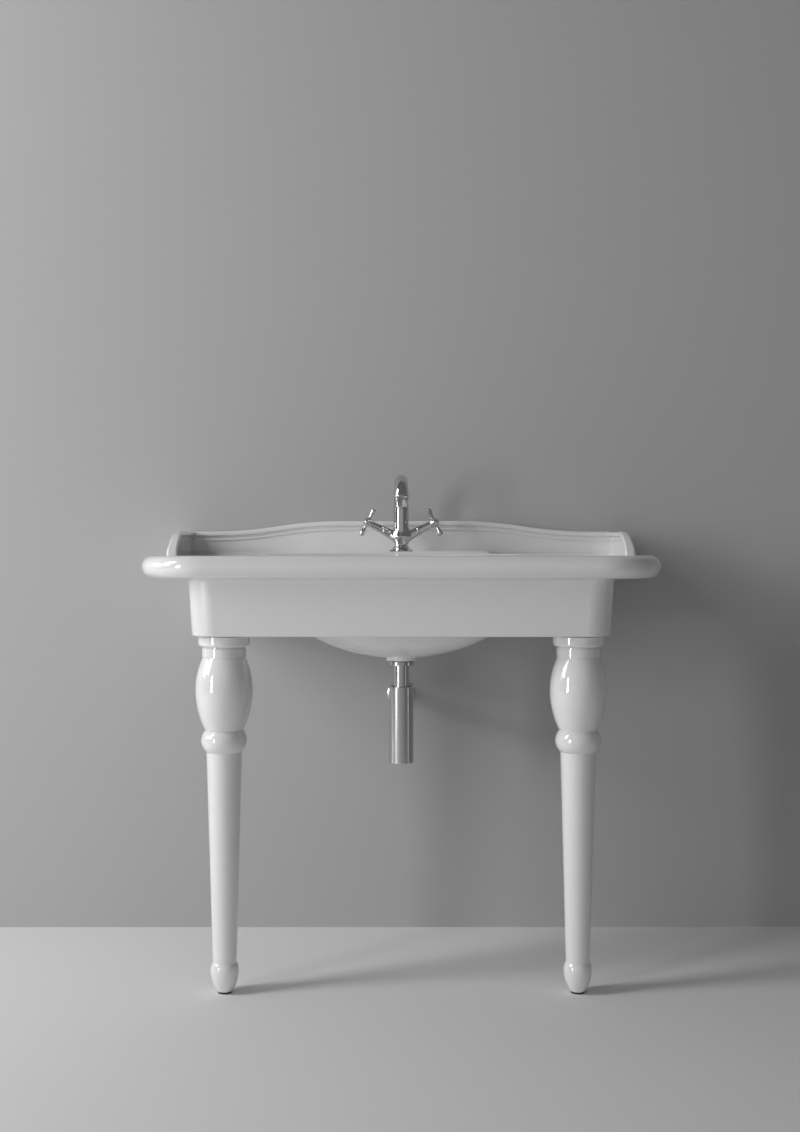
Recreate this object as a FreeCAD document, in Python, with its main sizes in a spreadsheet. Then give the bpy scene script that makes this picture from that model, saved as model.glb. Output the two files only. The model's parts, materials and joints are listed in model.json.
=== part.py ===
import FreeCAD, Part
import math
import os
import Sketcher

# A console washbasin on two turned ceramic legs, with a one-hole cross-handle
# mixer, a click-clack waste and a bottle trap. Millimetres, +Z up. The front of
# the basin faces -Y and the wall is the plane behind it. The origin lies on the
# floor, under the middle of the whole assembly.

doc = FreeCAD.newDocument("ConsoleBasin")

DRIVING_SIZES = [
    # Basin, seen from above
    ("basin_width", 1020), ("basin_depth", 550), ("rim_corner", 130),
    # Rolled rim and deck
    ("rim_height", 855), ("rim_thick", 44), ("rim_flat", 1), ("deck_thick", 16),
    # Apron under the rim
    ("apron_height", 111), ("front_overhang", 30), ("side_overhang", 98),
    ("apron_draft", 6), ("apron_corner", 50), ("apron_wall", 14), ("back_wall", 22),
    ("rim_cove", 7), ("apron_lip", 3),
    # Oval bowl
    ("bowl_length", 554), ("bowl_width", 320), ("bowl_from_wall", 160),
    ("bowl_depth", 199), ("bowl_wall", 13), ("bowl_centre_drop", 8), ("bowl_lip", 9),
    # Drain boss under the bowl
    ("drain_hole", 23), ("drain_seat", 33.5), ("drain_seat_drop", 2),
    ("boss_radius", 30.5), ("boss_drop", 4),
    # Raised tap platform
    ("platform_height", 5), ("platform_length", 370), ("platform_slope", 9),
    ("platform_setback", 14), ("tap_from_wall", 110), ("tap_hole", 17.5),
    # Moulded upstand along the wall, with a return at each end
    ("upstand_thick", 31), ("upstand_end", 48.5), ("upstand_middle", 72.5),
    ("upstand_root", 15), ("swan_start", 125), ("swan_margin", 43),
    ("roll_height", 11), ("roll_proud", 6), ("roll_round", 4),
    ("neck_height", 6), ("bead_height", 3.5), ("bead_proud", 3), ("bead_round", 1.2),
    ("return_inset", 22.5), ("return_thick", 17), ("return_length", 280),
    ("return_batter", 6), ("nose_slope", 2), ("nose_turn", 50), ("return_round", 6),
    ("upstand_cove", 6),
    # Fixing holes to the wall
    ("wall_bolt_spacing", 280), ("wall_bolt_hole", 7), ("wall_bolt_drop", 65),
    # Shelves that carry the legs, inside the apron's front corners
    ("leg_inset", 165), ("leg_setback", 95), ("shelf_thick", 16),
    ("shelf_inner", 62), ("shelf_back", 60), ("stud_hole", 6),
    # Turned leg, top to bottom
    ("leg_gasket_thick", 2), ("leg_gasket_radius", 46), ("collar_radius", 50),
    ("collar_height", 20), ("collar_round", 6), ("groove_radius", 41),
    ("groove_height", 3), ("ring_radius", 43), ("ring_height", 17),
    ("vase_top", 41), ("vase_middle", 56), ("vase_foot", 38), ("vase_upper", 65),
    ("vase_lower", 77), ("torus_root", 36), ("torus_radius", 45),
    ("torus_half", 21.5), ("shaft_top", 35), ("shaft_foot", 23.5),
    ("ankle_height", 61), ("foot_radius", 28), ("foot_belly", 45),
    ("foot_tip", 14), ("leg_wall", 12), ("leg_crown", 48), ("leg_floor", 30),
    # Foot pad
    ("pad_height", 4), ("pad_radius", 13), ("pad_stem", 4.8), ("pad_stem_length", 20),
    # Leg fixing: bush in the leg, stud, washer and nut
    ("bush_radius", 11), ("bush_length", 40), ("stud_radius", 4.9),
    ("stud_engaged", 32), ("stud_above", 16), ("washer_radius", 15),
    ("washer_thick", 2), ("nut_across", 17), ("nut_height", 8),
    # Click-clack waste
    ("waste_seal_thick", 1.5), ("waste_flange_radius", 33), ("waste_flange_thick", 3),
    ("waste_tube", 20.9), ("waste_bore", 18), ("waste_grip", 5),
    ("lower_seal_thick", 2), ("lower_seal_radius", 25), ("nut_radius", 26),
    ("coupling_height", 7), ("coupling_lip", 2), ("bridge_drop", 16),
    ("bridge_thick", 3), ("bridge_hub", 5), ("bridge_web", 5), ("bridge_bite", 0.5),
    ("plug_lift", 9), ("plug_radius", 30), ("plug_crown", 3.5), ("plug_edge", 2),
    ("plug_stem", 3.9), ("plug_stem_drop", 30),
    ("plug_seal_inner", 12), ("plug_seal_outer", 19.2), ("plug_seal_thick", 2.5),
    ("click_radius", 7), ("click_length", 22), ("click_floor", 2),
    # Tail pipe and bottle trap
    ("pipe_radius", 16), ("pipe_wall", 1.5), ("pipe_flare", 20), ("flare_thick", 2),
    ("trap_radius", 25), ("trap_wall", 2.5), ("trap_drop", 53.5), ("trap_length", 155),
    ("trap_cap", 6), ("trap_spigot", 10), ("spigot_wall", 2), ("dip_clear", 30),
    ("inlet_seal_radius", 19), ("inlet_seal_thick", 2), ("bottom_cap", 8),
    ("ring_groove_lift", 3.3), ("ring_groove", 3.4),
    ("outlet_drop", 50), ("socket_radius", 19), ("socket_length", 40),
    ("pipe_insert", 14), ("outlet_nut_radius", 22.5),
    ("outlet_nut_length", 15), ("outlet_seal_length", 5), ("wall_stub", 30),
    ("rosette_radius", 30.5), ("rosette_thick", 9), ("rosette_lip", 2.5),
    ("rosette_collar", 20), ("cut_mark", 0.3), ("cut_mark_width", 2),
    # One-hole mixer: foot, waist, bulb and column
    ("tap_gasket_thick", 1), ("tap_foot_radius", 25.5), ("tap_foot_lip", 2.5),
    ("tap_waist_radius", 15.2), ("tap_waist_height", 15), ("tap_bulb_radius", 21.5),
    ("tap_bulb_height", 31), ("tap_neck_height", 50), ("column_radius", 16.7),
    ("spigot_radius", 17), ("spigot_length", 6),
    ("hose_port", 4.5), ("hose_port_depth", 14), ("hose_port_offset", 8.5),
    # Swan-neck spout
    ("arch_height", 85), ("arch_radius", 64), ("arch_run", 18),
    ("front_radius", 38), ("front_turn", 80),
    ("crown_radius", 14), ("mouth_radius", 15.8), ("mouth_bore", 12.5),
    ("aerator_radius", 17.6), ("aerator_length", 7), ("aerator_lap", 4),
    ("aerator_bore", 11), ("aerator_lip", 1.5), ("mesh_thick", 5),
    # Arms, valves and bonnets, measured along each arm from the column's axis
    ("arm_height", 25), ("arm_tilt", 27), ("arm_root_radius", 14),
    ("arm_end_radius", 9.2), ("arm_length", 44), ("arm_bead_radius", 10.8),
    ("arm_bead", 4), ("valve_radius", 6.5), ("valve_start", 18), ("valve_end", 60),
    ("bonnet_end", 72), ("bonnet_end_radius", 7.4), ("bonnet_wall", 1.2),
    ("spindle_radius", 3.6), ("spindle_depth", 20),
    # Cross handles
    ("handle_reach", 82.5), ("hub_radius", 10), ("hub_base", 9.5),
    ("hub_base_radius", 7.6), ("hub_top", 7), ("hub_top_radius", 7.5),
    ("spoke_root", 3.6), ("spoke_end", 5), ("spoke_length", 33),
    ("knob_radius", 6), ("knob_length", 7), ("spline_depth", 7),
    ("cap_radius", 6), ("cap_height", 3), ("screw_radius", 3), ("screw_length", 9),
    ("screw_head", 4.6), ("screw_head_height", 2.6),
    # Fixing under the tap
    ("tap_stud_radius", 3.9), ("tap_stud_offset", 11), ("tap_stud_inside", 12),
    ("tap_stud_below", 24), ("clamp_radius", 24), ("clamp_rubber", 3),
    ("clamp_plate", 2), ("hose_room", 1.2), ("tap_nut_across", 13), ("tap_nut_height", 7),
    # Clearances between pieces that fit together
    ("seat_gap", 0.05), ("turn_gap", 0.3), ("thread_gap", 0.1),
]

ROOT_THREE = math.sqrt(3)
FULL_TURN = 360
HALF_TURN = 180
QUARTER = 90
LEVEL = 0


class Size:
    """A number now, with the sheet formula that keeps it live."""

    def __init__(self, number, formula):
        self.number = number
        self.formula = formula

    def __add__(self, other):
        return join(self, "+", other)

    def __radd__(self, other):
        return join(other, "+", self)

    def __sub__(self, other):
        return join(self, "-", other)

    def __rsub__(self, other):
        return join(other, "-", self)

    def __mul__(self, other):
        return join(self, "*", other)

    def __rmul__(self, other):
        return join(other, "*", self)

    def __truediv__(self, other):
        return join(self, "/", other)

    def __neg__(self):
        return Size(-self.number, f"(-{self.formula})")


def sized(value):
    """Plain numbers join in as Sizes."""
    if isinstance(value, Size):
        return value
    return Size(float(value), f"({value})")


def join(left, sign, right):
    """The Size of two Sizes added, taken away, multiplied or divided."""
    left = sized(left)
    right = sized(right)
    results = {
        "+": lambda: left.number + right.number,
        "-": lambda: left.number - right.number,
        "*": lambda: left.number * right.number,
        "/": lambda: left.number / right.number,
    }
    return Size(results[sign](), f"({left.formula} {sign} {right.formula})")


def sine(angle):
    return Size(math.sin(math.radians(angle.number)), f"sin({angle.formula})")


def cosine(angle):
    return Size(math.cos(math.radians(angle.number)), f"cos({angle.formula})")


class Sheet:
    """The spreadsheet of driving sizes, read as attributes."""

    def __init__(self, rows):
        self.cells = doc.addObject("Spreadsheet::Sheet", "Sizes")
        for row, (name, number) in enumerate(rows, start=1):
            self.cells.set(f"A{row}", name)
            self.cells.set(f"B{row}", str(number))
            self.cells.setAlias(f"B{row}", name)
        doc.recompute()

    def __getattr__(self, name):
        return Size(float(self.cells.get(name)), f"Sizes.{name}")


s = Sheet(DRIVING_SIZES)
nodes = []


# ---------------------------------------------------------------- drawing tools

def new_body(name):
    """A named piece of its own."""
    body = doc.addObject("PartDesign::Body", name)
    body.Label = name
    nodes.append(body)
    return body


def set_place(thing, frame, base, spin=None):
    """Binds a Placement or an AttachmentOffset. A spin is (axis, angle)."""
    if spin:
        axis, angle = spin
        turn = FreeCAD.Rotation(FreeCAD.Vector(*axis), sized(angle).number)
        setattr(thing, frame, FreeCAD.Placement(FreeCAD.Vector(), turn))
        thing.setExpression(f"{frame}.Rotation.Angle", sized(angle).formula)
    for axis, value in zip("xyz", base):
        thing.setExpression(f"{frame}.Base.{axis}", sized(value).formula)


def place(body, x=0, y=0, z=0, spin=None):
    """Puts a piece in the assembly, turned about an axis if it needs to be."""
    set_place(body, "Placement", (x, y, z), spin)
    return body


def plane_of(body, role):
    """One of the body's own origin planes."""
    return next(part for part in body.Origin.OriginFeatures if part.Role == role)


def new_sketch(body, role, lift=0, shift=(0, 0), spin=None):
    """An empty sketch on an origin plane, lifted along that plane's normal."""
    sketch = body.newObject("Sketcher::SketchObject", f"{body.Name}_sketch")
    sketch.AttachmentSupport = (plane_of(body, role), [""])
    sketch.MapMode = "FlatFace"
    set_place(sketch, "AttachmentOffset", (*shift, lift), spin)
    return sketch


def pin_point(sketch, edge, end, across, up):
    """Holds one end of an edge, or a centre, at bound coordinates."""
    for kind, value, axis in (("DistanceX", across, -2), ("DistanceY", up, -1)):
        value = sized(value)
        if value.formula == "(0)":
            sketch.addConstraint(Sketcher.Constraint("PointOnObject", edge, end, axis))
            continue
        rule = Sketcher.Constraint(kind, -1, 1, edge, end, value.number)
        index = sketch.addConstraint(rule)
        sketch.setExpression(f"Constraints[{index}]", value.formula)


def bind_radius(sketch, edge, radius):
    index = sketch.addConstraint(Sketcher.Constraint("Radius", edge, radius.number))
    sketch.setExpression(f"Constraints[{index}]", radius.formula)


def short_arc(start, finish, radius, turn):
    """The arc under a half circle from start to finish, bending left (+1) or right (-1)."""
    middle = (start + finish) * 0.5
    chord = finish - start
    reach = math.sqrt(max(radius ** 2 - chord.Length ** 2 / 4, 0))
    left = FreeCAD.Vector(-chord.y, chord.x, 0).normalize()
    centre = middle + left * reach * turn
    first, last = (start, finish) if turn > 0 else (finish, start)
    angles = [math.atan2(end.y - centre.y, end.x - centre.x) for end in (first, last)]
    circle = Part.Circle(centre, FreeCAD.Vector(0, 0, 1), radius)
    return Part.ArcOfCircle(circle, angles[0], angles[1])


def outline(body, role, path, **where):
    """A closed outline. A step (across, up) runs straight to its point, and a step
    (across, up, radius, turn) bends to it."""
    sketch = new_sketch(body, role, **where)
    points = [FreeCAD.Vector(sized(step[0]).number, sized(step[1]).number, 0) for step in path]
    ends = []
    for index, start in enumerate(points):
        after = (index + 1) % len(points)
        step = path[after]
        if len(step) == 2:
            sketch.addGeometry(Part.LineSegment(start, points[after]))
            ends.append((1, 2))
        else:
            radius, turn = step[2:]
            sketch.addGeometry(short_arc(start, points[after], sized(radius).number, turn))
            ends.append((1, 2) if turn > 0 else (2, 1))
    for index in range(len(points)):
        after = (index + 1) % len(points)
        link = ("Coincident", index, ends[index][1], after, ends[after][0])
        sketch.addConstraint(Sketcher.Constraint(*link))
        pin_point(sketch, index, ends[index][0], path[index][0], path[index][1])
        if len(path[after]) == 4:
            bind_radius(sketch, index, sized(path[after][2]))
    return sketch


def circles(body, role, rounds, **where):
    """A sketch of circles, each given as (across, up, radius)."""
    sketch = new_sketch(body, role, **where)
    for edge, (across, up, radius) in enumerate(rounds):
        centre = FreeCAD.Vector(sized(across).number, sized(up).number, 0)
        sketch.addGeometry(Part.Circle(centre, FreeCAD.Vector(0, 0, 1), sized(radius).number))
        pin_point(sketch, edge, 3, across, up)
        bind_radius(sketch, edge, sized(radius))
    return sketch


def extrude(body, kind, sketch, length, backwards=False):
    """A Pad or a Pocket of bound length."""
    feature = body.newObject(f"PartDesign::{kind}", f"{body.Name}_{kind.lower()}")
    feature.Profile = sketch
    feature.setExpression("Length", sized(length).formula)
    feature.Reversed = backwards
    doc.recompute()
    return feature


def pad(body, sketch, length, backwards=False):
    return extrude(body, "Pad", sketch, length, backwards)


def pocket(body, sketch, length, backwards=False):
    """A cut, checked to take material away."""
    before = body.Shape.Volume
    feature = extrude(body, "Pocket", sketch, length, backwards)
    if body.Shape.Volume >= before:
        raise RuntimeError(f"{feature.Label} cuts nothing")
    return feature


def revolve(body, sketch, axis="V_Axis", kind="Revolution"):
    """A full turn about one of the sketch's own axes."""
    before = body.Shape.Volume if kind == "Groove" else 0
    feature = body.newObject(f"PartDesign::{kind}", f"{body.Name}_{kind.lower()}")
    feature.Profile = sketch
    feature.ReferenceAxis = (sketch, [axis])
    feature.Angle = FULL_TURN
    doc.recompute()
    if kind == "Groove" and body.Shape.Volume >= before:
        raise RuntimeError(f"{feature.Label} cuts nothing")
    return feature


def loft(body, sections, kind="AdditiveLoft"):
    feature = body.newObject(f"PartDesign::{kind}", f"{body.Name}_{kind.lower()}")
    feature.Profile = sections[0]
    feature.Sections = sections[1:]
    doc.recompute()
    return feature


def check(thing):
    """Stops when a feature failed, naming it."""
    if "Invalid" in thing.State or "Error" in thing.State:
        raise RuntimeError(f"{thing.Label} could not be made")
    return thing


def round_edges(body, radius, chosen):
    """Rounds the edges of the body's present shape that the test picks out."""
    tip = body.Tip
    names = [f"Edge{number}" for number, edge in enumerate(tip.Shape.Edges, start=1) if chosen(edge)]
    feature = body.newObject("PartDesign::Fillet", f"{body.Name}_fillet")
    feature.Base = (tip, names)
    feature.setExpression("Radius", sized(radius).formula)
    doc.recompute()
    return check(feature)


def around_z(body, feature, count):
    """Repeats a feature evenly about the body's own Z axis."""
    pattern = body.newObject("PartDesign::PolarPattern", f"{body.Name}_pattern")
    pattern.Originals = [feature]
    pattern.Axis = (next(p for p in body.Origin.OriginFeatures if p.Role == "Z_Axis"), [""])
    pattern.Angle = FULL_TURN
    pattern.Occurrences = count
    body.Tip = pattern
    doc.recompute()
    return pattern


def turned(name, path, **where):
    """A piece turned on a lathe: its half outline is (radius, height)."""
    body = new_body(name)
    revolve(body, outline(body, "XZ_Plane", path))
    return place(body, **where)


def tube(inner, outer, low, high):
    """The half outline of a plain ring."""
    return [(inner, low), (outer, low), (outer, high), (inner, high)]


NEAR = 0.02


def near(value, size):
    """True where a measured place lies at a bound one."""
    return abs(value - sized(size).number) < NEAR


# --------------------------------------------------------------- shared places

front_y = -(s.basin_depth + s.wall_stub) / 2
wall_y = front_y + s.basin_depth
half_width = s.basin_width / 2
rim_bottom = s.rim_height - s.rim_thick
apron_bottom = rim_bottom - s.apron_height
deck_bottom = s.rim_height - s.deck_thick
bowl_y = wall_y - s.bowl_from_wall - s.bowl_width / 2
bowl_z = s.rim_height - s.bowl_centre_drop
bowl_floor = s.rim_height - s.bowl_depth
bowl_bottom = bowl_floor - s.bowl_wall
seat_z = bowl_floor - s.drain_seat_drop
boss_bottom = bowl_bottom - s.boss_drop
trap_top = boss_bottom - s.trap_drop
trap_bottom = trap_top - s.trap_length
outlet_z = trap_top - s.outlet_drop
tap_y = wall_y - s.tap_from_wall
platform_top = s.rim_height + s.platform_height
leg_y = front_y + s.leg_setback
leg_x = half_width - s.leg_inset


# ---------------------------------------------------------------------- basin

def plan(body, half, front, back, corner, z):
    """A plan outline with two rounded front corners and a straight back."""
    path = [
        (-half, back),
        (-half, front + corner),
        (-half + corner, front, corner, 1),
        (half - corner, front),
        (half, front + corner, corner, 1),
        (half, back),
    ]
    return outline(body, "XY_Plane", path, lift=z)


def make_rim(basin):
    """The deck slab, its edge rolled in a half round along the front and sides."""
    slab = plan(basin, half_width, front_y, wall_y, s.rim_corner, rim_bottom)
    pad(basin, slab, s.rim_thick)
    roll = (s.rim_thick - s.rim_flat) / 2

    def on_rim(edge):
        level = edge.BoundBox.ZLength < NEAR
        against_wall = near(edge.BoundBox.YMin, wall_y)
        return level and not against_wall

    round_edges(basin, roll, on_rim)


def make_apron(basin):
    """The tapering skirt under the rim, open below and closed towards the wall."""
    top_half = half_width - s.side_overhang
    top_front = front_y + s.front_overhang
    low_half = top_half - s.apron_draft
    low_front = top_front + s.apron_draft
    high = plan(basin, top_half, top_front, wall_y, s.apron_corner, rim_bottom)
    low = plan(basin, low_half, low_front, wall_y, s.apron_corner, apron_bottom)
    loft(basin, [low, high])

    def under_rim(edge):
        box = edge.BoundBox
        at_rim = near(box.ZMin, rim_bottom) and near(box.ZMax, rim_bottom)
        across = max(abs(box.XMin), abs(box.XMax)) < top_half.number + NEAR
        along = box.YMin > top_front.number - NEAR and not near(box.YMin, wall_y)
        return at_rim and across and along

    round_edges(basin, s.rim_cove, under_rim)
    inside_back = wall_y - s.back_wall
    inner = s.apron_corner - s.apron_wall
    room = []
    for half, front, z in ((low_half, low_front, apron_bottom), (top_half, top_front, deck_bottom)):
        room.append(plan(basin, half - s.apron_wall, front + s.apron_wall, inside_back, inner, z))
    loft(basin, room, "SubtractiveLoft")

    def at_foot(edge):
        box = edge.BoundBox
        return near(box.ZMax, apron_bottom) and not near(box.YMin, wall_y)

    round_edges(basin, s.apron_lip, at_foot)


def make_bowl(basin):
    """An oval bowl hung from the deck, with a drain boss at its lowest point."""
    grow = {"Additive": s.bowl_wall, "Subtractive": sized(0)}
    for kind, extra in grow.items():
        oval = basin.newObject(f"PartDesign::{kind}Ellipsoid", f"bowl_{kind.lower()}")
        oval.AttachmentSupport = (plane_of(basin, "XY_Plane"), [""])
        oval.MapMode = "FlatFace"
        oval.setExpression("AttachmentOffset.Base.y", bowl_y.formula)
        oval.setExpression("AttachmentOffset.Base.z", bowl_z.formula)
        oval.setExpression("Radius1", (bowl_z - bowl_floor + extra).formula)
        oval.setExpression("Radius2", (s.bowl_length / 2 + extra).formula)
        oval.setExpression("Radius3", (s.bowl_width / 2 + extra).formula)
        oval.Angle2 = LEVEL if kind == "Additive" else QUARTER
        doc.recompute()
        if kind == "Additive":
            boss = circles(basin, "XY_Plane", [(0, bowl_y, s.boss_radius)], lift=boss_bottom)
            pad(basin, boss, s.boss_drop + s.bowl_wall)
    seat = circles(basin, "XY_Plane", [(0, bowl_y, s.drain_seat)], lift=seat_z)
    pocket(basin, seat, s.bowl_wall, backwards=True)
    drain = circles(basin, "XY_Plane", [(0, bowl_y, s.drain_hole)], lift=boss_bottom)
    pocket(basin, drain, s.bowl_wall + s.boss_drop, backwards=True)

    def bowl_edge(edge):
        box = edge.BoundBox
        at_deck = near(box.ZMin, s.rim_height) and near(box.ZMax, s.rim_height)
        return at_deck and box.YMax < bowl_y.number + s.bowl_width.number

    round_edges(basin, s.bowl_lip, bowl_edge)


def backwards_path(path):
    """The same open line, run the other way."""
    points = [step[:2] for step in reversed(path)]
    bends = [step[2:] for step in reversed(path[1:])]
    line = [points[0]]
    for point, bend in zip(points[1:], bends):
        line.append((*point, bend[0], -bend[1]) if bend else point)
    return line


def swan_line(edge, swan_end, drop):
    """The upstand's top line, lowered: level, an S-bend up, a level middle, and down again."""
    end_z = s.rim_height + s.upstand_end - drop
    rise = s.upstand_middle - s.upstand_end
    middle_z = end_z + rise
    span = swan_end - s.swan_start
    bend = (span * span + rise * rise) / (rise * 4)
    turning_x = (swan_end + s.swan_start) / 2
    turning_z = (middle_z + end_z) / 2
    return [
        (-edge, end_z),
        (-swan_end, end_z),
        (-turning_x, turning_z, bend, 1),
        (-s.swan_start, middle_z, bend, -1),
        (s.swan_start, middle_z),
        (turning_x, turning_z, bend, -1),
        (swan_end, end_z, bend, 1),
        (edge, end_z),
    ]


def nose_line(drop):
    """A return's front end, lowered: up from the deck and over to the level top."""
    start_y = wall_y - s.return_length + drop
    height = s.upstand_end - drop
    run = height * s.nose_slope
    turn_sine = sine(s.nose_turn)
    turn_cosine = cosine(s.nose_turn)
    spread = (1 - turn_cosine) * (1 - turn_sine) - turn_cosine * turn_sine
    tight = (run * (1 - turn_sine) - height * turn_cosine) / spread
    wide = (height * (1 - turn_cosine) - run * turn_sine) / spread
    return [
        (start_y, s.rim_height),
        (start_y + tight * (1 - turn_cosine), s.rim_height + tight * turn_sine, tight, -1),
        (start_y + run, s.rim_height + height, wide, -1),
    ]


def make_band(basin, edge, swan_end, top_drop, foot_drop, proud):
    """One moulding of the upstand, between two drops below its top line, run along the
    wall and down the nose of each return."""
    high = swan_line(edge, swan_end, top_drop)
    low = swan_line(edge, swan_end, foot_drop)
    along = outline(basin, "XZ_Plane", low + backwards_path(high), lift=-wall_y)
    pad(basin, along, s.upstand_thick + proud)
    top_z = s.rim_height + s.upstand_end
    ends = [(wall_y, top_z - top_drop), (wall_y, top_z - foot_drop)]
    for side in (1, -1):
        path = nose_line(top_drop) + ends + backwards_path(nose_line(foot_drop))
        around = outline(basin, "YZ_Plane", path, lift=side * edge)
        pad(basin, around, s.return_thick + proud, backwards=side > 0)


def make_upstand(basin):
    """The moulded upstand: a swan-neck wall with a battered return at each end, topped
    by a roll, a neck and a bead."""
    edge = half_width - s.return_inset
    swan_end = edge - s.return_thick - s.swan_margin
    root_z = s.rim_height - s.upstand_root
    top_z = s.rim_height + s.upstand_end
    top = swan_line(edge, swan_end, sized(0))
    wall_path = [(-edge, root_z), (edge, root_z)] + backwards_path(top)
    pad(basin, outline(basin, "XZ_Plane", wall_path, lift=-wall_y), s.upstand_thick)
    towards_wall = [(wall_y, top_z), (wall_y, root_z), (wall_y - s.return_length, root_z)]
    for side in (1, -1):
        cheek = outline(basin, "YZ_Plane", nose_line(sized(0)) + towards_wall, lift=side * edge)
        pad(basin, cheek, s.return_thick, backwards=side > 0)
    bead_top = s.roll_height + s.neck_height
    make_band(basin, edge, swan_end, sized(0), s.roll_height, s.roll_proud)
    make_band(basin, edge, swan_end, bead_top, bead_top + s.bead_height, s.bead_proud)
    for side in (1, -1):
        wedge = [
            (side * edge, s.rim_height),
            (side * (edge + s.return_batter), s.rim_height),
            (side * (edge + s.return_batter), top_z),
            (side * (edge - s.return_batter), top_z),
        ]
        cut = outline(basin, "XZ_Plane", wedge, lift=-wall_y)
        pocket(basin, cut, s.return_length + s.return_batter, backwards=True)

    def on_batter(vertex):
        lean = (vertex.Z - s.rim_height.number) / s.upstand_end.number
        return near(abs(vertex.X), edge.number - lean * s.return_batter.number)

    def outer_edges(shape_edge):
        box = shape_edge.BoundBox
        above = box.ZMax > s.rim_height.number + NEAR
        battered = all(on_batter(vertex) for vertex in shape_edge.Vertexes)
        return battered and above and not near(box.YMin, wall_y)

    def band_edges(proud):
        front_face = wall_y - s.upstand_thick - proud
        inner_face = edge - s.return_thick - proud

        def chosen(shape_edge):
            box = shape_edge.BoundBox
            above = box.ZMin > s.rim_height.number - NEAR
            tall = box.ZMax > s.rim_height.number + NEAR
            on_back = near(box.YMin, front_face) and near(box.YMax, front_face)
            on_side = near(abs(box.XMin), inner_face) and near(abs(box.XMax), inner_face)
            upright = box.XLength < NEAR and box.YLength < NEAR
            return above and tall and (on_back or on_side) and not upright

        return chosen

    def foot_edges(shape_edge):
        box = shape_edge.BoundBox
        at_deck = near(box.ZMin, s.rim_height) and near(box.ZMax, s.rim_height)
        at_wall = near(box.YMin, wall_y - s.upstand_thick)
        return at_deck and at_wall and box.XLength > swan_end.number

    round_edges(basin, s.return_round, outer_edges)
    round_edges(basin, s.roll_round, band_edges(s.roll_proud))
    round_edges(basin, s.bead_round, band_edges(s.bead_proud))
    round_edges(basin, s.upstand_cove, foot_edges)


def make_platform(basin):
    """The low raised table that the tap stands on, sloped at both ends."""
    back = wall_y - s.upstand_thick
    front = bowl_y + s.bowl_width / 2 + s.platform_setback
    half = s.platform_length / 2
    slab = [
        (-half - s.platform_slope, s.rim_height),
        (half + s.platform_slope, s.rim_height),
        (half, platform_top),
        (-half, platform_top),
    ]
    pad(basin, outline(basin, "XZ_Plane", slab, lift=-back), back - front)
    hole = circles(basin, "XY_Plane", [(0, tap_y, s.tap_hole)], lift=deck_bottom)
    pocket(basin, hole, s.deck_thick + s.platform_height, backwards=True)


def make_shelves(basin):
    """The two corner shelves that rest on the legs, each with a hole for its stud."""
    half = half_width - s.side_overhang - s.apron_draft - s.apron_wall / 2
    front = front_y + s.front_overhang + s.apron_draft + s.apron_wall / 2
    corner = s.apron_corner - s.apron_wall / 2
    inner = leg_x - s.shelf_inner
    back = leg_y + s.shelf_back
    for side in (1, -1):
        path = [
            (side * inner, back),
            (side * inner, front),
            (side * (half - corner), front),
            (side * half, front + corner, corner, side),
            (side * half, back),
        ]
        pad(basin, outline(basin, "XY_Plane", path, lift=apron_bottom), s.shelf_thick)
    rounds = [(side * leg_x, leg_y, s.stud_hole) for side in (1, -1)]
    holes = circles(basin, "XY_Plane", rounds, lift=apron_bottom)
    pocket(basin, holes, s.shelf_thick, backwards=True)


def make_wall_holes(basin):
    """Two holes through the back panel for the wall bolts."""
    half = s.wall_bolt_spacing / 2
    bolt_z = s.rim_height - s.wall_bolt_drop
    rounds = [(side * half, bolt_z, s.wall_bolt_hole) for side in (1, -1)]
    holes = circles(basin, "XZ_Plane", rounds, lift=-wall_y)
    pocket(basin, holes, s.back_wall, backwards=True)


basin = new_body("basin")
make_rim(basin)
make_apron(basin)
make_bowl(basin)
make_upstand(basin)
make_platform(basin)
make_shelves(basin)
make_wall_holes(basin)


# ------------------------------------------------------------------ small parts

def bulge(half_chord, height):
    """Radius of the arc that stands a height proud over a chord."""
    return (half_chord * half_chord + height * height) / (height * 2)


def upright_end(run, rise):
    """Radius of an arc that ends upright, having moved in by a run over a rise."""
    return (run * run + rise * rise) / (run * 2)


def hex_nut(name, across, hole, height, **where):
    """A six-sided nut standing on its own XY plane."""
    body = new_body(name)
    corner = across / ROOT_THREE
    path = []
    for side in range(NUT_SIDES):
        angle = math.radians(side * FULL_TURN / NUT_SIDES)
        path.append((corner * round(math.cos(angle), 12), corner * round(math.sin(angle), 12)))
    pad(body, outline(body, "XY_Plane", path), height)
    pocket(body, circles(body, "XY_Plane", [(0, 0, hole)]), height, backwards=True)
    return place(body, **where)


NUT_SIDES = 6
SIDES = {"left": -1, "right": 1}

# ------------------------------------------------------------------------- legs

leg_top = apron_bottom - s.leg_gasket_thick
crown_z = leg_top - s.leg_crown
bush_hole = s.bush_radius + s.seat_gap
stem_hole = s.pad_stem + s.seat_gap
collar_low = leg_top - s.collar_height
ring_top = collar_low - s.groove_height
vase_top_z = ring_top - s.ring_height
vase_middle_z = vase_top_z - s.vase_upper
torus_top_z = vase_middle_z - s.vase_lower
shaft_z = torus_top_z - s.torus_half * 2
belly_z = s.foot_belly
shelf_top = apron_bottom + s.shelf_thick
inner_vase = s.vase_middle - s.leg_wall


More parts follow.
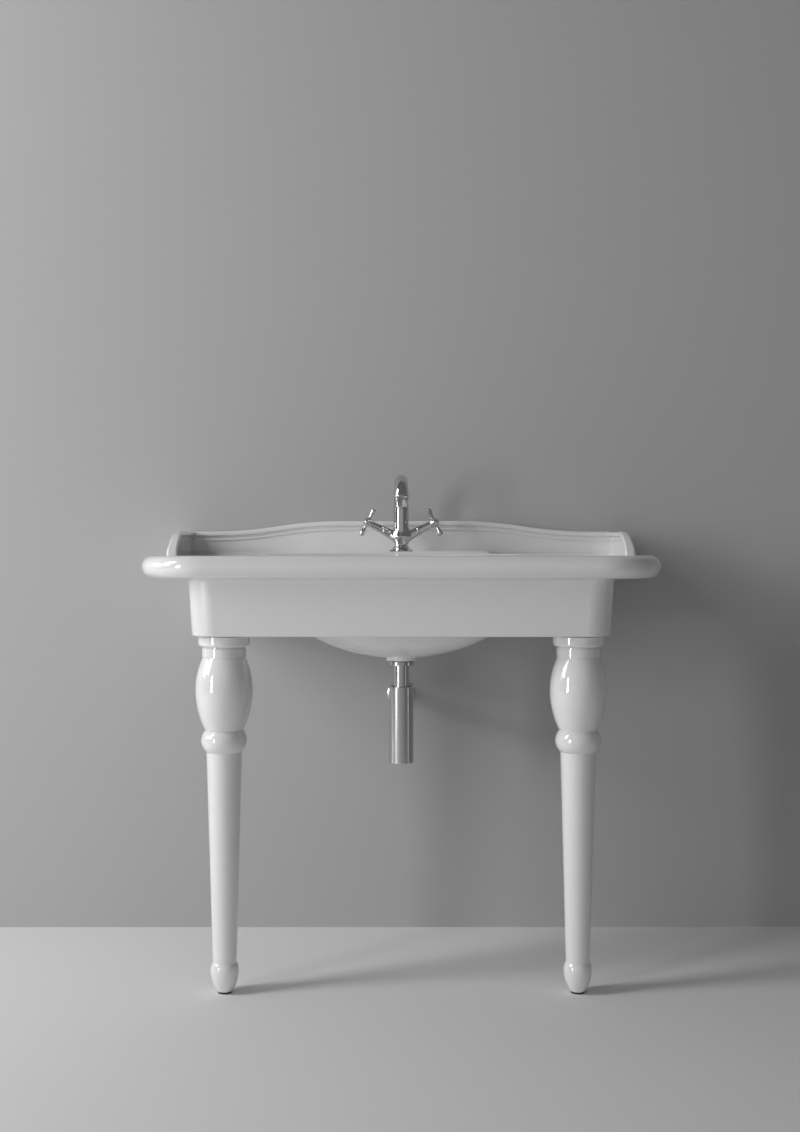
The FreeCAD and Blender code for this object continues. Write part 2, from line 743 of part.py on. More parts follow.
def leg_outline():
    """Half outline of the hollow turned leg: outside from the top down, then inside up."""
    return [
        (0, leg_top - s.bush_length),
        (bush_hole, leg_top - s.bush_length),
        (bush_hole, leg_top),
        (s.collar_radius, leg_top),
        (s.collar_radius, collar_low + s.collar_round),
        (s.collar_radius - s.collar_round, collar_low, s.collar_round, -1),
        (s.groove_radius, collar_low),
        (s.groove_radius, ring_top),
        (s.ring_radius, ring_top),
        (s.ring_radius, vase_top_z),
        (s.vase_top, vase_top_z),
        (s.vase_middle, vase_middle_z, upright_end(s.vase_middle - s.vase_top, s.vase_upper), -1),
        (s.vase_foot, torus_top_z, upright_end(s.vase_middle - s.vase_foot, s.vase_lower), -1),
        (s.torus_root, torus_top_z),
        (s.torus_root, shaft_z, bulge(s.torus_half, s.torus_radius - s.torus_root), -1),
        (s.shaft_top, shaft_z),
        (s.shaft_foot, s.ankle_height),
        (s.foot_radius, belly_z, upright_end(s.foot_radius - s.shaft_foot, s.ankle_height - belly_z), -1),
        (s.foot_tip, s.pad_height, upright_end(s.foot_radius - s.foot_tip, belly_z - s.pad_height), -1),
        (stem_hole, s.pad_height),
        (stem_hole, s.leg_floor),
        (s.shaft_foot - s.leg_wall, s.ankle_height),
        (s.shaft_top - s.leg_wall, shaft_z),
        (s.shaft_top - s.leg_wall, torus_top_z),
        (inner_vase, vase_middle_z, upright_end(inner_vase - s.shaft_top + s.leg_wall, s.vase_lower), 1),
        (s.vase_top - s.leg_wall, crown_z),
        (0, crown_z),
    ]


def make_leg(side):
    """One leg with its pad, gasket, bush, stud, washer and nut."""
    spot = {"x": SIDES[side] * leg_x, "y": leg_y}
    pad_outline = [
        (0, 0),
        (s.pad_radius, 0),
        (s.pad_radius, s.pad_height),
        (s.pad_stem, s.pad_height),
        (s.pad_stem, s.pad_height + s.pad_stem_length),
        (0, s.pad_height + s.pad_stem_length),
    ]
    stud = tube(0, s.stud_radius, leg_top - s.stud_engaged, shelf_top + s.stud_above)
    threaded = s.stud_radius + s.thread_gap
    washer_top = shelf_top + s.washer_thick
    turned(f"{side}_leg", leg_outline(), **spot)
    turned(f"{side}_foot_pad", pad_outline, **spot)
    turned(f"{side}_leg_gasket", tube(s.stud_hole, s.leg_gasket_radius, leg_top, apron_bottom), **spot)
    turned(f"{side}_leg_bush", tube(threaded, s.bush_radius, leg_top - s.bush_length, leg_top), **spot)
    turned(f"{side}_leg_stud", stud, **spot)
    turned(f"{side}_leg_washer", tube(threaded, s.washer_radius, shelf_top, washer_top), **spot)
    hex_nut(f"{side}_leg_nut", s.nut_across, threaded, s.nut_height, **spot, z=washer_top)


for side in SIDES:
    make_leg(side)

# ------------------------------------------------------------------------ waste

flange_low = seat_z + s.waste_seal_thick
flange_top = flange_low + s.waste_flange_thick
nut_top = boss_bottom - s.lower_seal_thick
nut_low = nut_top - s.coupling_height
flare_low = nut_low + s.coupling_lip
flare_top = flare_low + s.flare_thick
threaded_tube = s.waste_tube + s.thread_gap
hub_top_z = flange_top - s.bridge_drop
hub_low_z = hub_top_z - s.bridge_thick * 2
hub_hole = s.click_radius + s.seat_gap
drain = {"y": bowl_y}


def make_waste_body():
    """The flanged tube that lines the drain hole, with overflow slots and a bridge."""
    body = new_body("waste_body")
    path = [
        (s.waste_bore, flare_top),
        (s.waste_tube, flare_top),
        (s.waste_tube, flange_low),
        (s.waste_flange_radius, flange_low),
        (s.waste_flange_radius, flange_low + s.waste_flange_thick / 2),
        (s.waste_flange_radius - s.waste_flange_thick / 2, flange_top, s.waste_flange_thick / 2, 1),
        (s.waste_bore + s.waste_grip, flange_top),
        (s.waste_bore, flange_low, s.waste_grip * 2, 1),
    ]
    revolve(body, outline(body, "XZ_Plane", path))
    slot_half = s.waste_grip
    slot = [
        (-slot_half, boss_bottom),
        (slot_half, boss_bottom),
        (slot_half, boss_bottom + s.waste_grip * 2),
        (-slot_half, boss_bottom + s.waste_grip * 2),
    ]
    opening = pocket(body, outline(body, "XZ_Plane", slot), s.waste_tube + s.seat_gap, backwards=True)
    around_z(body, opening, BRIDGE_WEB_COUNT)
    web_half = s.bridge_web / 2
    hub = tube(hub_hole, s.click_radius + s.bridge_hub, hub_low_z, hub_top_z)
    revolve(body, outline(body, "XZ_Plane", hub))
    web = [
        (-web_half, s.click_radius + s.bridge_hub / 2),
        (web_half, s.click_radius + s.bridge_hub / 2),
        (web_half, s.waste_bore + s.bridge_bite),
        (-web_half, s.waste_bore + s.bridge_bite),
    ]
    arm = pad(body, outline(body, "XY_Plane", web, lift=hub_low_z), s.bridge_thick)
    around_z(body, arm, BRIDGE_WEB_COUNT)
    return place(body, **drain)


BRIDGE_WEB_COUNT = 4
make_waste_body()
flange_seal_edge = s.drain_seat - s.waste_seal_thick
flange_seal = tube(s.waste_tube + s.seat_gap, flange_seal_edge, seat_z, flange_low)
turned("waste_flange_seal", flange_seal, **drain)
turned("waste_lower_seal", tube(threaded_tube, s.lower_seal_radius, nut_top, boss_bottom), **drain)

# The click cartridge sits in the bridge's hub and the plug's stem slides in it.
click_top = hub_top_z + s.bridge_thick
click_low = click_top - s.click_length
stem_guide = s.plug_stem + s.turn_gap
click_outline = [
    (0, click_low),
    (s.click_radius, click_low),
    (s.click_radius, hub_top_z),
    (s.click_radius + s.bridge_thick, hub_top_z),
    (s.click_radius + s.bridge_thick, click_top),
    (stem_guide, click_top),
    (stem_guide, click_low + s.click_floor),
    (0, click_low + s.click_floor),
]
turned("click_cartridge", click_outline, **drain)

plug_low = flange_top + s.plug_lift
plug_boss_low = plug_low - s.plug_seal_thick * 2
plug_outline = [
    (0, plug_low - s.plug_stem_drop),
    (s.plug_stem, plug_low - s.plug_stem_drop),
    (s.plug_stem, plug_boss_low),
    (s.plug_seal_inner, plug_boss_low),
    (s.plug_seal_inner, plug_low),
    (s.plug_radius, plug_low),
    (s.plug_radius, plug_low + s.plug_edge),
    (0, plug_low + s.plug_edge + s.plug_crown, bulge(s.plug_radius, s.plug_crown), 1),
]
turned("waste_plug", plug_outline, **drain)
plug_ring = tube(
    s.plug_seal_inner + s.seat_gap,
    s.plug_seal_outer,
    plug_low - s.plug_seal_thick,
    plug_low,
)
turned("plug_seal", plug_ring, **drain)

# The coupling nut draws the flared tail pipe up against the waste.
coupling_outline = [
    (threaded_tube, flare_low),
    (threaded_tube, nut_top),
    (s.nut_radius, nut_top),
    (s.nut_radius, nut_low),
    (s.pipe_radius + s.thread_gap, nut_low),
    (s.pipe_radius + s.thread_gap, flare_low),
]
turned("waste_coupling_nut", coupling_outline, **drain)

# ------------------------------------------------------------------ bottle trap

body_low = trap_bottom + s.bottom_cap
body_high = trap_top - s.trap_cap
trap_inner = s.trap_radius - s.trap_wall
spigot = trap_inner - s.seat_gap
pipe_hole = s.pipe_radius + s.seat_gap
pipe_inner = s.pipe_radius - s.pipe_wall
seal_low = trap_top - s.inlet_seal_thick
tail_outline = [
    (pipe_inner, body_low + s.dip_clear),
    (s.pipe_radius, body_low + s.dip_clear),
    (s.pipe_radius, flare_low),
    (s.pipe_flare, flare_low),
    (s.pipe_flare, flare_top),
    (pipe_inner, flare_top),
]
head_outline = [
    (spigot - s.spigot_wall, body_high - s.trap_spigot),
    (spigot, body_high - s.trap_spigot),
    (spigot, body_high),
    (s.trap_radius, body_high),
    (s.trap_radius, trap_top),
    (s.inlet_seal_radius, trap_top),
    (s.inlet_seal_radius, seal_low),
    (pipe_hole, seal_low),
    (pipe_hole, body_high),
    (spigot - s.spigot_wall, body_high),
]
groove_low = body_low + s.ring_groove_lift
groove_high = groove_low + s.ring_groove
groove_deep = spigot - s.spigot_wall
cup_wall = groove_deep - s.spigot_wall
cup_outline = [
    (0, trap_bottom),
    (s.trap_radius, trap_bottom),
    (s.trap_radius, body_low),
    (spigot, body_low),
    (spigot, groove_low),
    (groove_deep, groove_low),
    (groove_deep, groove_high),
    (spigot, groove_high),
    (spigot, body_low + s.trap_spigot),
    (cup_wall, body_low + s.trap_spigot),
    (cup_wall, trap_bottom + s.trap_wall),
    (0, trap_bottom + s.trap_wall),
]
turned("tail_pipe", tail_outline, **drain)
turned("trap_head", head_outline, **drain)
inlet_seal = tube(pipe_hole, s.inlet_seal_radius - s.seat_gap, seal_low, trap_top)
turned("trap_inlet_seal", inlet_seal, **drain)
turned("trap_bottom_cap", cup_outline, **drain)
ring = tube(groove_deep + s.seat_gap, spigot, groove_low + s.seat_gap, groove_high - s.seat_gap)
turned("trap_bottom_seal", ring, **drain)


def make_trap_body():
    """The trap's plain cylinder, with a socket for the wall pipe at its back."""
    body = new_body("trap_body")
    pad(body, circles(body, "XY_Plane", [(0, 0, s.trap_radius)], lift=body_low), body_high - body_low)
    socket = circles(body, "XZ_Plane", [(0, outlet_z, s.socket_radius)])
    pad(body, socket, s.socket_length, backwards=True)
    inside = circles(body, "XY_Plane", [(0, 0, trap_inner)], lift=body_low)
    pocket(body, inside, body_high - body_low, backwards=True)
    passage = circles(body, "XZ_Plane", [(0, outlet_z, pipe_inner)])
    pocket(body, passage, s.socket_length)
    mouth_start = s.socket_length - s.pipe_insert
    mouth = circles(body, "XZ_Plane", [(0, outlet_z, pipe_hole)], lift=-mouth_start)
    pocket(body, mouth, s.pipe_insert)
    return place(body, **drain)


make_trap_body()

# Pieces on the level outlet pipe, turned about it. Their own Z runs to the wall.
to_wall = {"y": bowl_y, "z": outlet_z, "spin": ((-1, 0, 0), QUARTER)}
wall_reach = wall_y - bowl_y
seal_end = s.socket_length + s.outlet_seal_length
nut_start = seal_end + s.outlet_seal_length / 2 - s.outlet_nut_length
outlet_nut_outline = [
    (s.socket_radius + s.thread_gap, nut_start),
    (s.outlet_nut_radius, nut_start),
    (s.outlet_nut_radius, nut_start + s.outlet_nut_length),
    (pipe_hole, nut_start + s.outlet_nut_length),
    (pipe_hole, seal_end),
    (s.socket_radius + s.thread_gap, seal_end),
]
rosette_outline = [
    (s.pipe_radius + s.thread_gap, wall_reach - s.rosette_thick),
    (s.rosette_collar, wall_reach - s.rosette_thick),
    (s.rosette_radius, wall_reach - s.rosette_lip, s.rosette_radius, -1),
    (s.rosette_radius, wall_reach),
    (s.rosette_radius - s.rosette_lip, wall_reach),
    (s.rosette_collar, wall_reach - s.rosette_thick + s.rosette_lip),
    (s.pipe_radius + s.thread_gap, wall_reach - s.rosette_thick + s.rosette_lip),
]
pipe_start = s.socket_length - s.pipe_insert
mark_radius = s.pipe_radius - s.cut_mark
outlet_pipe_outline = [
    (pipe_inner, pipe_start),
    (s.pipe_radius, pipe_start),
    (s.pipe_radius, wall_reach),
    (mark_radius, wall_reach),
    (mark_radius, wall_reach + s.cut_mark_width),
    (s.pipe_radius, wall_reach + s.cut_mark_width),
    (s.pipe_radius, wall_reach + s.wall_stub),
    (pipe_inner, wall_reach + s.wall_stub),
]
turned("outlet_pipe", outlet_pipe_outline, **to_wall)
turned("trap_outlet_nut", outlet_nut_outline, **to_wall)
turned("trap_outlet_seal", tube(pipe_hole, s.socket_radius, s.socket_length, seal_end), **to_wall)
turned("wall_rosette", rosette_outline, **to_wall)

# -------------------------------------------------------------------------- tap

tap_z = platform_top + s.tap_gasket_thick
arch_top = s.arch_height + s.arch_radius
front_start = s.arch_radius + s.arch_run
mouth_y = -(front_start + s.front_radius * sine(s.front_turn))
mouth_z = arch_top - s.front_radius * (1 - cosine(s.front_turn))
mouth_spin = ((1, 0, 0), QUARTER + s.front_turn)
insert_radius = s.mouth_bore - s.seat_gap
spigot_low = -s.spigot_length


def make_tap_column(body):
    """Foot, waist, bulb and column of the mixer, turned in one."""
    waist = upright_end(s.tap_foot_radius - s.tap_waist_radius, s.tap_waist_height - s.tap_foot_lip)
    flare_rise = s.tap_bulb_height - s.tap_waist_height
    flare = upright_end(s.tap_bulb_radius - s.tap_waist_radius, flare_rise)
    neck = upright_end(s.tap_bulb_radius - s.column_radius, s.tap_neck_height - s.tap_bulb_height)
    path = [
        (0, spigot_low),
        (s.spigot_radius, spigot_low),
        (s.spigot_radius, 0),
        (s.tap_foot_radius, 0),
        (s.tap_foot_radius, s.tap_foot_lip),
        (s.tap_waist_radius, s.tap_waist_height, waist, -1),
        (s.tap_bulb_radius, s.tap_bulb_height, flare, -1),
        (s.column_radius, s.tap_neck_height, neck, -1),
        (s.column_radius, s.arch_height),
        (0, s.arch_height),
    ]
    revolve(body, outline(body, "XZ_Plane", path))


def make_spout(body):
    """The swan neck: round sections up to a level crown and down again, slimmest there."""

    def section(back, up, angle, radius):
        spin = ((1, 0, 0), angle)
        rounds = [(0, 0, radius)]
        return circles(body, "XY_Plane", rounds, shift=(0, -back), lift=up, spin=spin)

    rise = []
    fall = []
    for step in range(ARCH_STEPS + 1):
        share = step / ARCH_STEPS
        angle = sized(QUARTER) * share
        slim = (s.column_radius - s.crown_radius) * (1 - share) ** 2
        back = s.arch_radius * (1 - cosine(angle))
        up = s.arch_height + s.arch_radius * sine(angle)
        rise.append(section(back, up, angle, s.crown_radius + slim))
    for step in range(ARCH_STEPS + 1):
        share = step / ARCH_STEPS
        angle = s.front_turn * share
        swell = (s.mouth_radius - s.crown_radius) * share ** 2
        back = front_start + s.front_radius * sine(angle)
        up = arch_top - s.front_radius * (1 - cosine(angle))
        fall.append(section(back, up, QUARTER + angle, s.crown_radius + swell))
    loft(body, rise)
    loft(body, [rise[-1], fall[0]])
    loft(body, fall)
    spot = [(0, 0, s.mouth_bore)]
    mouth = circles(body, "XY_Plane", spot, shift=(0, mouth_y), lift=mouth_z, spin=mouth_spin)
    pocket(body, mouth, s.mouth_bore)


def make_arm(body, side):
    """One arm of the cross body, ending in a bead, bored for its valve."""
    along = s.arm_tilt if SIDES[side] > 0 else HALF_TURN - s.arm_tilt
    where = {"shift": (0, s.arm_height), "spin": ((0, 0, 1), along)}
    up = SIDES[side]
    bead_start = s.arm_length - s.arm_bead
    bead = bulge(s.arm_bead / 2, s.arm_bead_radius - s.arm_end_radius)
    path = [
        (0, 0),
        (0, up * s.arm_root_radius),
        (bead_start, up * s.arm_end_radius),
        (s.arm_length, up * s.arm_end_radius, bead, -up),
        (s.arm_length, 0),
    ]
    revolve(body, outline(body, "XZ_Plane", path, **where), axis="H_Axis")


def bore_arm(body, side):
    along = s.arm_tilt if SIDES[side] > 0 else HALF_TURN - s.arm_tilt
    where = {"shift": (0, s.arm_height), "spin": ((0, 0, 1), along)}
    valve_hole = SIDES[side] * (s.valve_radius + s.seat_gap)
    path = [
        (s.valve_start, 0),
        (s.valve_start, valve_hole),
        (s.arm_length, valve_hole),
        (s.arm_length, 0),
    ]
    revolve(body, outline(body, "XZ_Plane", path, **where), axis="H_Axis", kind="Groove")


def make_tap_body():
    """The cast mixer body with its spout, arms, water ports and stud hole."""
    body = new_body("tap_body")
    make_tap_column(body)
    for side in SIDES:
        make_arm(body, side)
    make_spout(body)
    for side in SIDES:
        bore_arm(body, side)
    ports = [(side * s.hose_port_offset, 0, s.hose_port) for side in SIDES.values()]
    port_depth = s.hose_port_depth + s.spigot_length
    pocket(body, circles(body, "XY_Plane", ports, lift=spigot_low), port_depth, backwards=True)
    stud_spot = [(0, s.tap_stud_offset, s.tap_stud_radius + s.thread_gap)]
    stud_hole = circles(body, "XY_Plane", stud_spot, lift=spigot_low)
    pocket(body, stud_hole, s.spigot_length + s.tap_stud_inside, backwards=True)
    return place(body, y=tap_y, z=tap_z)


ARCH_STEPS = 3
make_tap_body()

at_mouth = {"y": tap_y + mouth_y, "z": tap_z + mouth_z, "spin": mouth_spin}
ring_round = s.aerator_length / 2
ring_bulge = bulge(ring_round, s.aerator_radius - s.mouth_radius)
aerator_outline = [
    (s.aerator_bore, -s.aerator_lap * 2),
    (insert_radius, -s.aerator_lap * 2),
    (insert_radius, 0),
    (s.mouth_radius, 0),
    (s.mouth_radius, s.aerator_length, ring_bulge, 1),
    (s.aerator_bore - s.aerator_lip, s.aerator_length),
    (s.aerator_bore - s.aerator_lip, s.aerator_length - s.aerator_lip),
    (s.aerator_bore, s.aerator_length - s.aerator_lip),
]
turned("aerator_ring", aerator_outline, **at_mouth)
mesh_top = s.aerator_length - s.aerator_lip
turned("aerator_insert", tube(0, s.aerator_bore - s.seat_gap, mesh_top - s.mesh_thick, mesh_top), **at_mouth)

# Fixing under the deck: gasket, stud, rubber and steel horseshoes, nut.
gasket = tube(s.spigot_radius + s.turn_gap, s.tap_foot_radius - s.tap_gasket_thick, platform_top, tap_z)
turned("tap_gasket", gasket, y=tap_y)
stud_spot = {"y": tap_y + s.tap_stud_offset}
stud_low = deck_bottom - s.tap_stud_below
turned("tap_stud", tube(0, s.tap_stud_radius, stud_low, tap_z + s.tap_stud_inside), **stud_spot)


def horseshoe(name, low, thick):
    """A washer round the tap's stud, slotted to pass the water hoses."""
    body = new_body(name)
    pad(body, circles(body, "XY_Plane", [(0, 0, s.clamp_radius)]), thick)
    hole = circles(body, "XY_Plane", [(0, s.tap_stud_offset, s.tap_stud_radius + s.thread_gap)])
    pocket(body, hole, thick, backwards=True)
    side = s.hose_port_offset + s.hose_port + s.hose_room
    back = s.hose_port + s.hose_room
    slot = [(-side, -s.clamp_radius), (side, -s.clamp_radius), (side, back), (-side, back)]
    pocket(body, outline(body, "XY_Plane", slot), thick, backwards=True)
    return place(body, y=tap_y, z=low)


plate_top = deck_bottom - s.clamp_rubber
plate_low = plate_top - s.clamp_plate
horseshoe("tap_clamp_rubber", plate_top, s.clamp_rubber)
horseshoe("tap_clamp_plate", plate_low, s.clamp_plate)
stud_clear = s.tap_stud_radius + s.thread_gap
hex_nut("tap_nut", s.tap_nut_across, stud_clear, s.tap_nut_height, **stud_spot, z=plate_low - s.tap_nut_height)

# --------------------------------------------------------------- valves, handles

spindle_hole = s.spindle_radius + s.seat_gap
spindle_low = s.valve_end - s.spindle_depth
spindle_top = s.handle_reach - s.hub_base + s.spline_depth
valve_shoulder = s.bonnet_end - s.spindle_depth
screw_hole = s.screw_radius + s.seat_gap
hub_inner_top = s.hub_top - s.cap_height


def make_handle(side):
    """One cross handle with its valve, spindle, bonnet, screw and cap."""
    lean = ((0, SIDES[side], 0), QUARTER - s.arm_tilt)
    on_arm = {"y": tap_y, "z": tap_z + s.arm_height, "spin": lean}
    neck = s.valve_radius - s.bonnet_wall
    valve = [
        (0, s.valve_start),
        (s.valve_radius, s.valve_start),
        (s.valve_radius, valve_shoulder),
        (neck, valve_shoulder),
        (neck, s.valve_end),
        (spindle_hole, s.valve_end),
        (spindle_hole, spindle_low),
        (0, spindle_low),
    ]
    spindle = [
        (0, spindle_low),
        (s.spindle_radius, spindle_low),
        (s.spindle_radius, spindle_top),
        (screw_hole, spindle_top),
        (screw_hole, spindle_top - s.screw_length),
        (0, spindle_top - s.screw_length),
    ]
    bonnet = [
        (s.arm_end_radius - s.bonnet_wall, s.arm_length),
        (s.arm_end_radius, s.arm_length),
        (s.bonnet_end_radius, s.bonnet_end),
        (s.bonnet_end_radius - s.bonnet_wall, s.bonnet_end),
    ]
    turned(f"{side}_valve", valve, **on_arm)
    turned(f"{side}_spindle", spindle, **on_arm)
    turned(f"{side}_bonnet", bonnet, **on_arm)
    reach = s.handle_reach
    shift = {
        "x": SIDES[side] * reach * cosine(s.arm_tilt),
        "y": tap_y,
        "z": tap_z + s.arm_height + reach * sine(s.arm_tilt),
        "spin": lean,
    }
    make_cross(side, shift)
    head_low = hub_inner_top
    head_high = head_low + s.screw_head_height
    screw = [
        (0, head_low - s.screw_length),
        (s.screw_radius, head_low - s.screw_length),
        (s.screw_radius, head_low),
        (s.screw_head, head_low),
        (s.screw_head, head_high),
        (0, head_high),
    ]
    cap_top = s.hub_top + s.cap_height
    cap_wall = (s.cap_radius - s.screw_head) / 2
    cap = [
        (s.cap_radius - cap_wall, hub_inner_top),
        (s.cap_radius, hub_inner_top),
        (s.cap_radius, s.hub_top),
        (0, cap_top, upright_end(s.cap_height, s.cap_radius), 1),
        (0, s.hub_top),
        (s.cap_radius - cap_wall, s.hub_top),
    ]
    turned(f"{side}_handle_screw", screw, **shift)
    turned(f"{side}_handle_cap", cap, **shift)


def make_cross(side, shift):
    """The cross handle: a hub bored for spindle and screw, and four knobbed spokes."""
    body = new_body(f"{side}_handle")
    spline_top = s.spline_depth - s.hub_base
    cap_hole = s.cap_radius + s.seat_gap
    hub = [
        (spindle_hole, -s.hub_base),
        (s.hub_base_radius, -s.hub_base),
        (s.hub_radius, 0, upright_end(s.hub_radius - s.hub_base_radius, s.hub_base), 1),
        (s.hub_top_radius, s.hub_top, upright_end(s.hub_radius - s.hub_top_radius, s.hub_top), 1),
        (cap_hole, s.hub_top),
        (cap_hole, hub_inner_top),
        (screw_hole, hub_inner_top),
        (screw_hole, spline_top),
        (spindle_hole, spline_top),
    ]
    revolve(body, outline(body, "XZ_Plane", hub))
    knob_start = s.spoke_length - s.knob_length
    knob_end = s.spoke_length - s.knob_radius / 2
    root = s.cap_radius + s.bonnet_wall
    dome = bulge(s.knob_radius, s.knob_radius / 2)
    spoke = [
        (root, 0),
        (root, s.spoke_root),
        (knob_start, s.spoke_end),
        (knob_start + s.bonnet_wall, s.knob_radius),
        (knob_end, s.knob_radius),
        (s.spoke_length, 0, dome, -1),
    ]
    arm = revolve(body, outline(body, "XZ_Plane", spoke), axis="H_Axis")
    around_z(body, arm, SPOKES)
    return place(body, **shift)


SPOKES = 4
for side in SIDES:
    make_handle(side)

# ----------------------------------------------------------------- write pieces

doc.recompute()
for thing in doc.Objects:
    if "Invalid" in thing.State or "Error" in thing.State:
        raise RuntimeError(f"{thing.Label} failed")
for body in nodes:
    if body.Shape.isNull() or not body.Shape.isValid():
        raise RuntimeError(f"{body.Label} has no valid shape")
    if len(body.Shape.Solids) != 1:
        raise RuntimeError(f"{body.Label} is not one solid")

os.makedirs("parts", exist_ok=True)
for body in nodes:
    body.Shape.exportStep(f"parts/{body.Label}.step")
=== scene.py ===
"""A white console basin on two turned legs, with its mixer, waste and bottle trap.

Metres, +Z up, the wall behind at +Y. The frame gives every fixed piece its place.
"""
import json
import math

import bmesh
import bpy
import numpy as np
from mathutils import Matrix, Vector


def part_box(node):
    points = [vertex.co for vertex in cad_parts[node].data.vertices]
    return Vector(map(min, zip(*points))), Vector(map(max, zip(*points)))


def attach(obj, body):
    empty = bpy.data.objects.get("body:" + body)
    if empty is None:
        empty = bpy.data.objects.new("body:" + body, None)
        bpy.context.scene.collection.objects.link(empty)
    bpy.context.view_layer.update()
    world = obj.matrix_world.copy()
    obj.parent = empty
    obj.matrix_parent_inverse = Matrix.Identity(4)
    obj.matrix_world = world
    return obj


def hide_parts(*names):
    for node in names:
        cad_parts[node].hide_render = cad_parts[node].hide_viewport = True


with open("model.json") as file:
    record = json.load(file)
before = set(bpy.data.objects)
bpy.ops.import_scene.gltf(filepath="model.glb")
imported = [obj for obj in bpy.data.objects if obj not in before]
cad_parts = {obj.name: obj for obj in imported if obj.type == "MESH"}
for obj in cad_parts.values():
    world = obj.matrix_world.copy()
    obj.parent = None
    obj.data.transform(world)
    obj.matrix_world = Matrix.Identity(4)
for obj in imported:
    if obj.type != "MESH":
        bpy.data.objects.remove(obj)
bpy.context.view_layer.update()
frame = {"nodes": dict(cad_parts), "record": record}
nodes = frame["nodes"]
MM = 0.001


# -------------------------------------------------------------------- node tools

class Value:
    """What a node gives out. It can be used in sums."""

    def __init__(self, maker, source):
        self.maker = maker
        self.source = source

    def sum(self, operation, *others):
        return self.maker.add("ShaderNodeMath", {"operation": operation}, [self, *others])

    def __add__(self, other):
        return self.sum("ADD", other)

    def __sub__(self, other):
        return self.sum("SUBTRACT", other)

    def __rsub__(self, other):
        return self.maker.add("ShaderNodeMath", {"operation": "SUBTRACT"}, [other, self])

    def __mul__(self, other):
        return self.sum("MULTIPLY", other)

    def above(self, limit):
        return self.sum("GREATER_THAN", limit)

    def below(self, limit):
        return self.sum("LESS_THAN", limit)

    def largest(self, other):
        return self.sum("MAXIMUM", other)


class NodeTree:
    """A tree of nodes, filled one node at a time."""

    def __init__(self, tree):
        self.tree = tree

    def give(self, socket, value):
        """Links a Value to the socket, or sets a plain value on it."""
        if isinstance(value, Value):
            self.tree.links.new(value.source, socket)
        else:
            socket.default_value = value

    def add(self, kind, settings=None, inputs=(), output=0):
        """Adds a node with its settings, then its inputs: a list in socket order, or a dict."""
        node = self.tree.nodes.new(kind)
        for name, value in (settings or {}).items():
            setattr(node, name, value)
        pairs = inputs.items() if isinstance(inputs, dict) else enumerate(inputs)
        for socket, value in pairs:
            self.give(node.inputs[socket], value)
        return Value(self, node.outputs[output]) if node.outputs else None


# The Mix node's sockets, where it mixes colours.
MIX_FACTOR, MIX_FIRST, MIX_SECOND, MIX_RESULT = 0, 6, 7, 2


def opaque(value):
    """Gives a plain colour its alpha, and leaves anything else as it is."""
    return (*value, 1.0) if isinstance(value, tuple) else value


class Finish(NodeTree):
    """One procedural material, built node by node."""

    def __init__(self, name):
        self.material = bpy.data.materials.new(name)
        self.material.use_nodes = True
        super().__init__(self.material.node_tree)
        self.tree.nodes.clear()
        self.place = self.add("ShaderNodeTexCoord", output="Object")

    def axis(self, name):
        return self.add("ShaderNodeSeparateXYZ", {}, [self.place], output=name)

    def noise(self, scale, detail=2.0, roughness=0.5, stretch=None):
        place = self.place
        if stretch:
            place = self.add("ShaderNodeVectorMath", {"operation": "MULTIPLY"}, [place, stretch])
        inputs = {"Vector": place, "Scale": scale, "Detail": detail, "Roughness": roughness}
        return self.add("ShaderNodeTexNoise", {}, inputs)

    def spread(self, factor, to_low=0.0, to_high=1.0, low=0.3, high=0.7):
        """The factor, stretched so that low..high covers to_low..to_high."""
        return self.add("ShaderNodeMapRange", {}, [factor, low, high, to_low, to_high])

    def mixed(self, factor, first, second):
        """The first colour, going over to the second as the factor goes from 0 to 1."""
        inputs = {MIX_FACTOR: factor, MIX_FIRST: opaque(first), MIX_SECOND: opaque(second)}
        return self.add("ShaderNodeMix", {"data_type": "RGBA"}, inputs, output=MIX_RESULT)

    def bump(self, height, distance):
        return self.add("ShaderNodeBump", {}, {"Height": height, "Distance": distance})

    def closed(self, shader):
        self.add("ShaderNodeOutputMaterial", {}, [shader])
        return self.material

    def surface(self, **sockets):
        """Closes the tree with a Principled shader. The names use _ for a space."""
        inputs = {name.replace("_", " "): opaque(value) for name, value in sockets.items()}
        return self.closed(self.add("ShaderNodeBsdfPrincipled", {}, inputs))


# ---------------------------------------------------------------------- finishes

def darkened(color, share):
    return tuple(part * share for part in color)


def glaze(name, bare_below, bare_above):
    """White gloss glaze that pools a little, wiped off the faces that stand or hang."""
    finish = Finish(name)
    height = finish.axis("Z")
    pooling = finish.noise(9.0, detail=3.0)
    speckle = finish.noise(260.0, roughness=0.6)
    waves = finish.noise(55.0)
    bare = height.below(bare_below).largest(height.above(bare_above))
    glazed = finish.mixed(pooling, (0.900, 0.900, 0.896), (0.880, 0.882, 0.882))
    biscuit = finish.mixed(speckle, (0.70, 0.67, 0.62), (0.60, 0.57, 0.52))
    return finish.surface(
        Base_Color=finish.mixed(bare, glazed, biscuit),
        Roughness=finish.spread(pooling, 0.045, 0.085) + bare * 0.6,
        IOR=1.52,
        Coat_Weight=1.0 - bare,
        Coat_Roughness=0.02,
        Normal=finish.bump(waves * 0.8 + speckle * 0.06, 0.02 * MM),
    )


def plated(name, color, shine):
    """Bright plate over polished brass, with faint wiping marks."""
    finish = Finish(name)
    wiped = finish.noise(38.0, detail=4.0, roughness=0.62, stretch=(1.0, 1.0, 0.35))
    haze = finish.spread(wiped, low=0.42, high=0.72)
    return finish.surface(
        Base_Color=finish.mixed(haze, color, darkened(color, 0.94)),
        Metallic=1.0,
        Roughness=haze * 0.05 + shine,
        Normal=finish.bump(finish.noise(420.0), 0.004 * MM),
    )


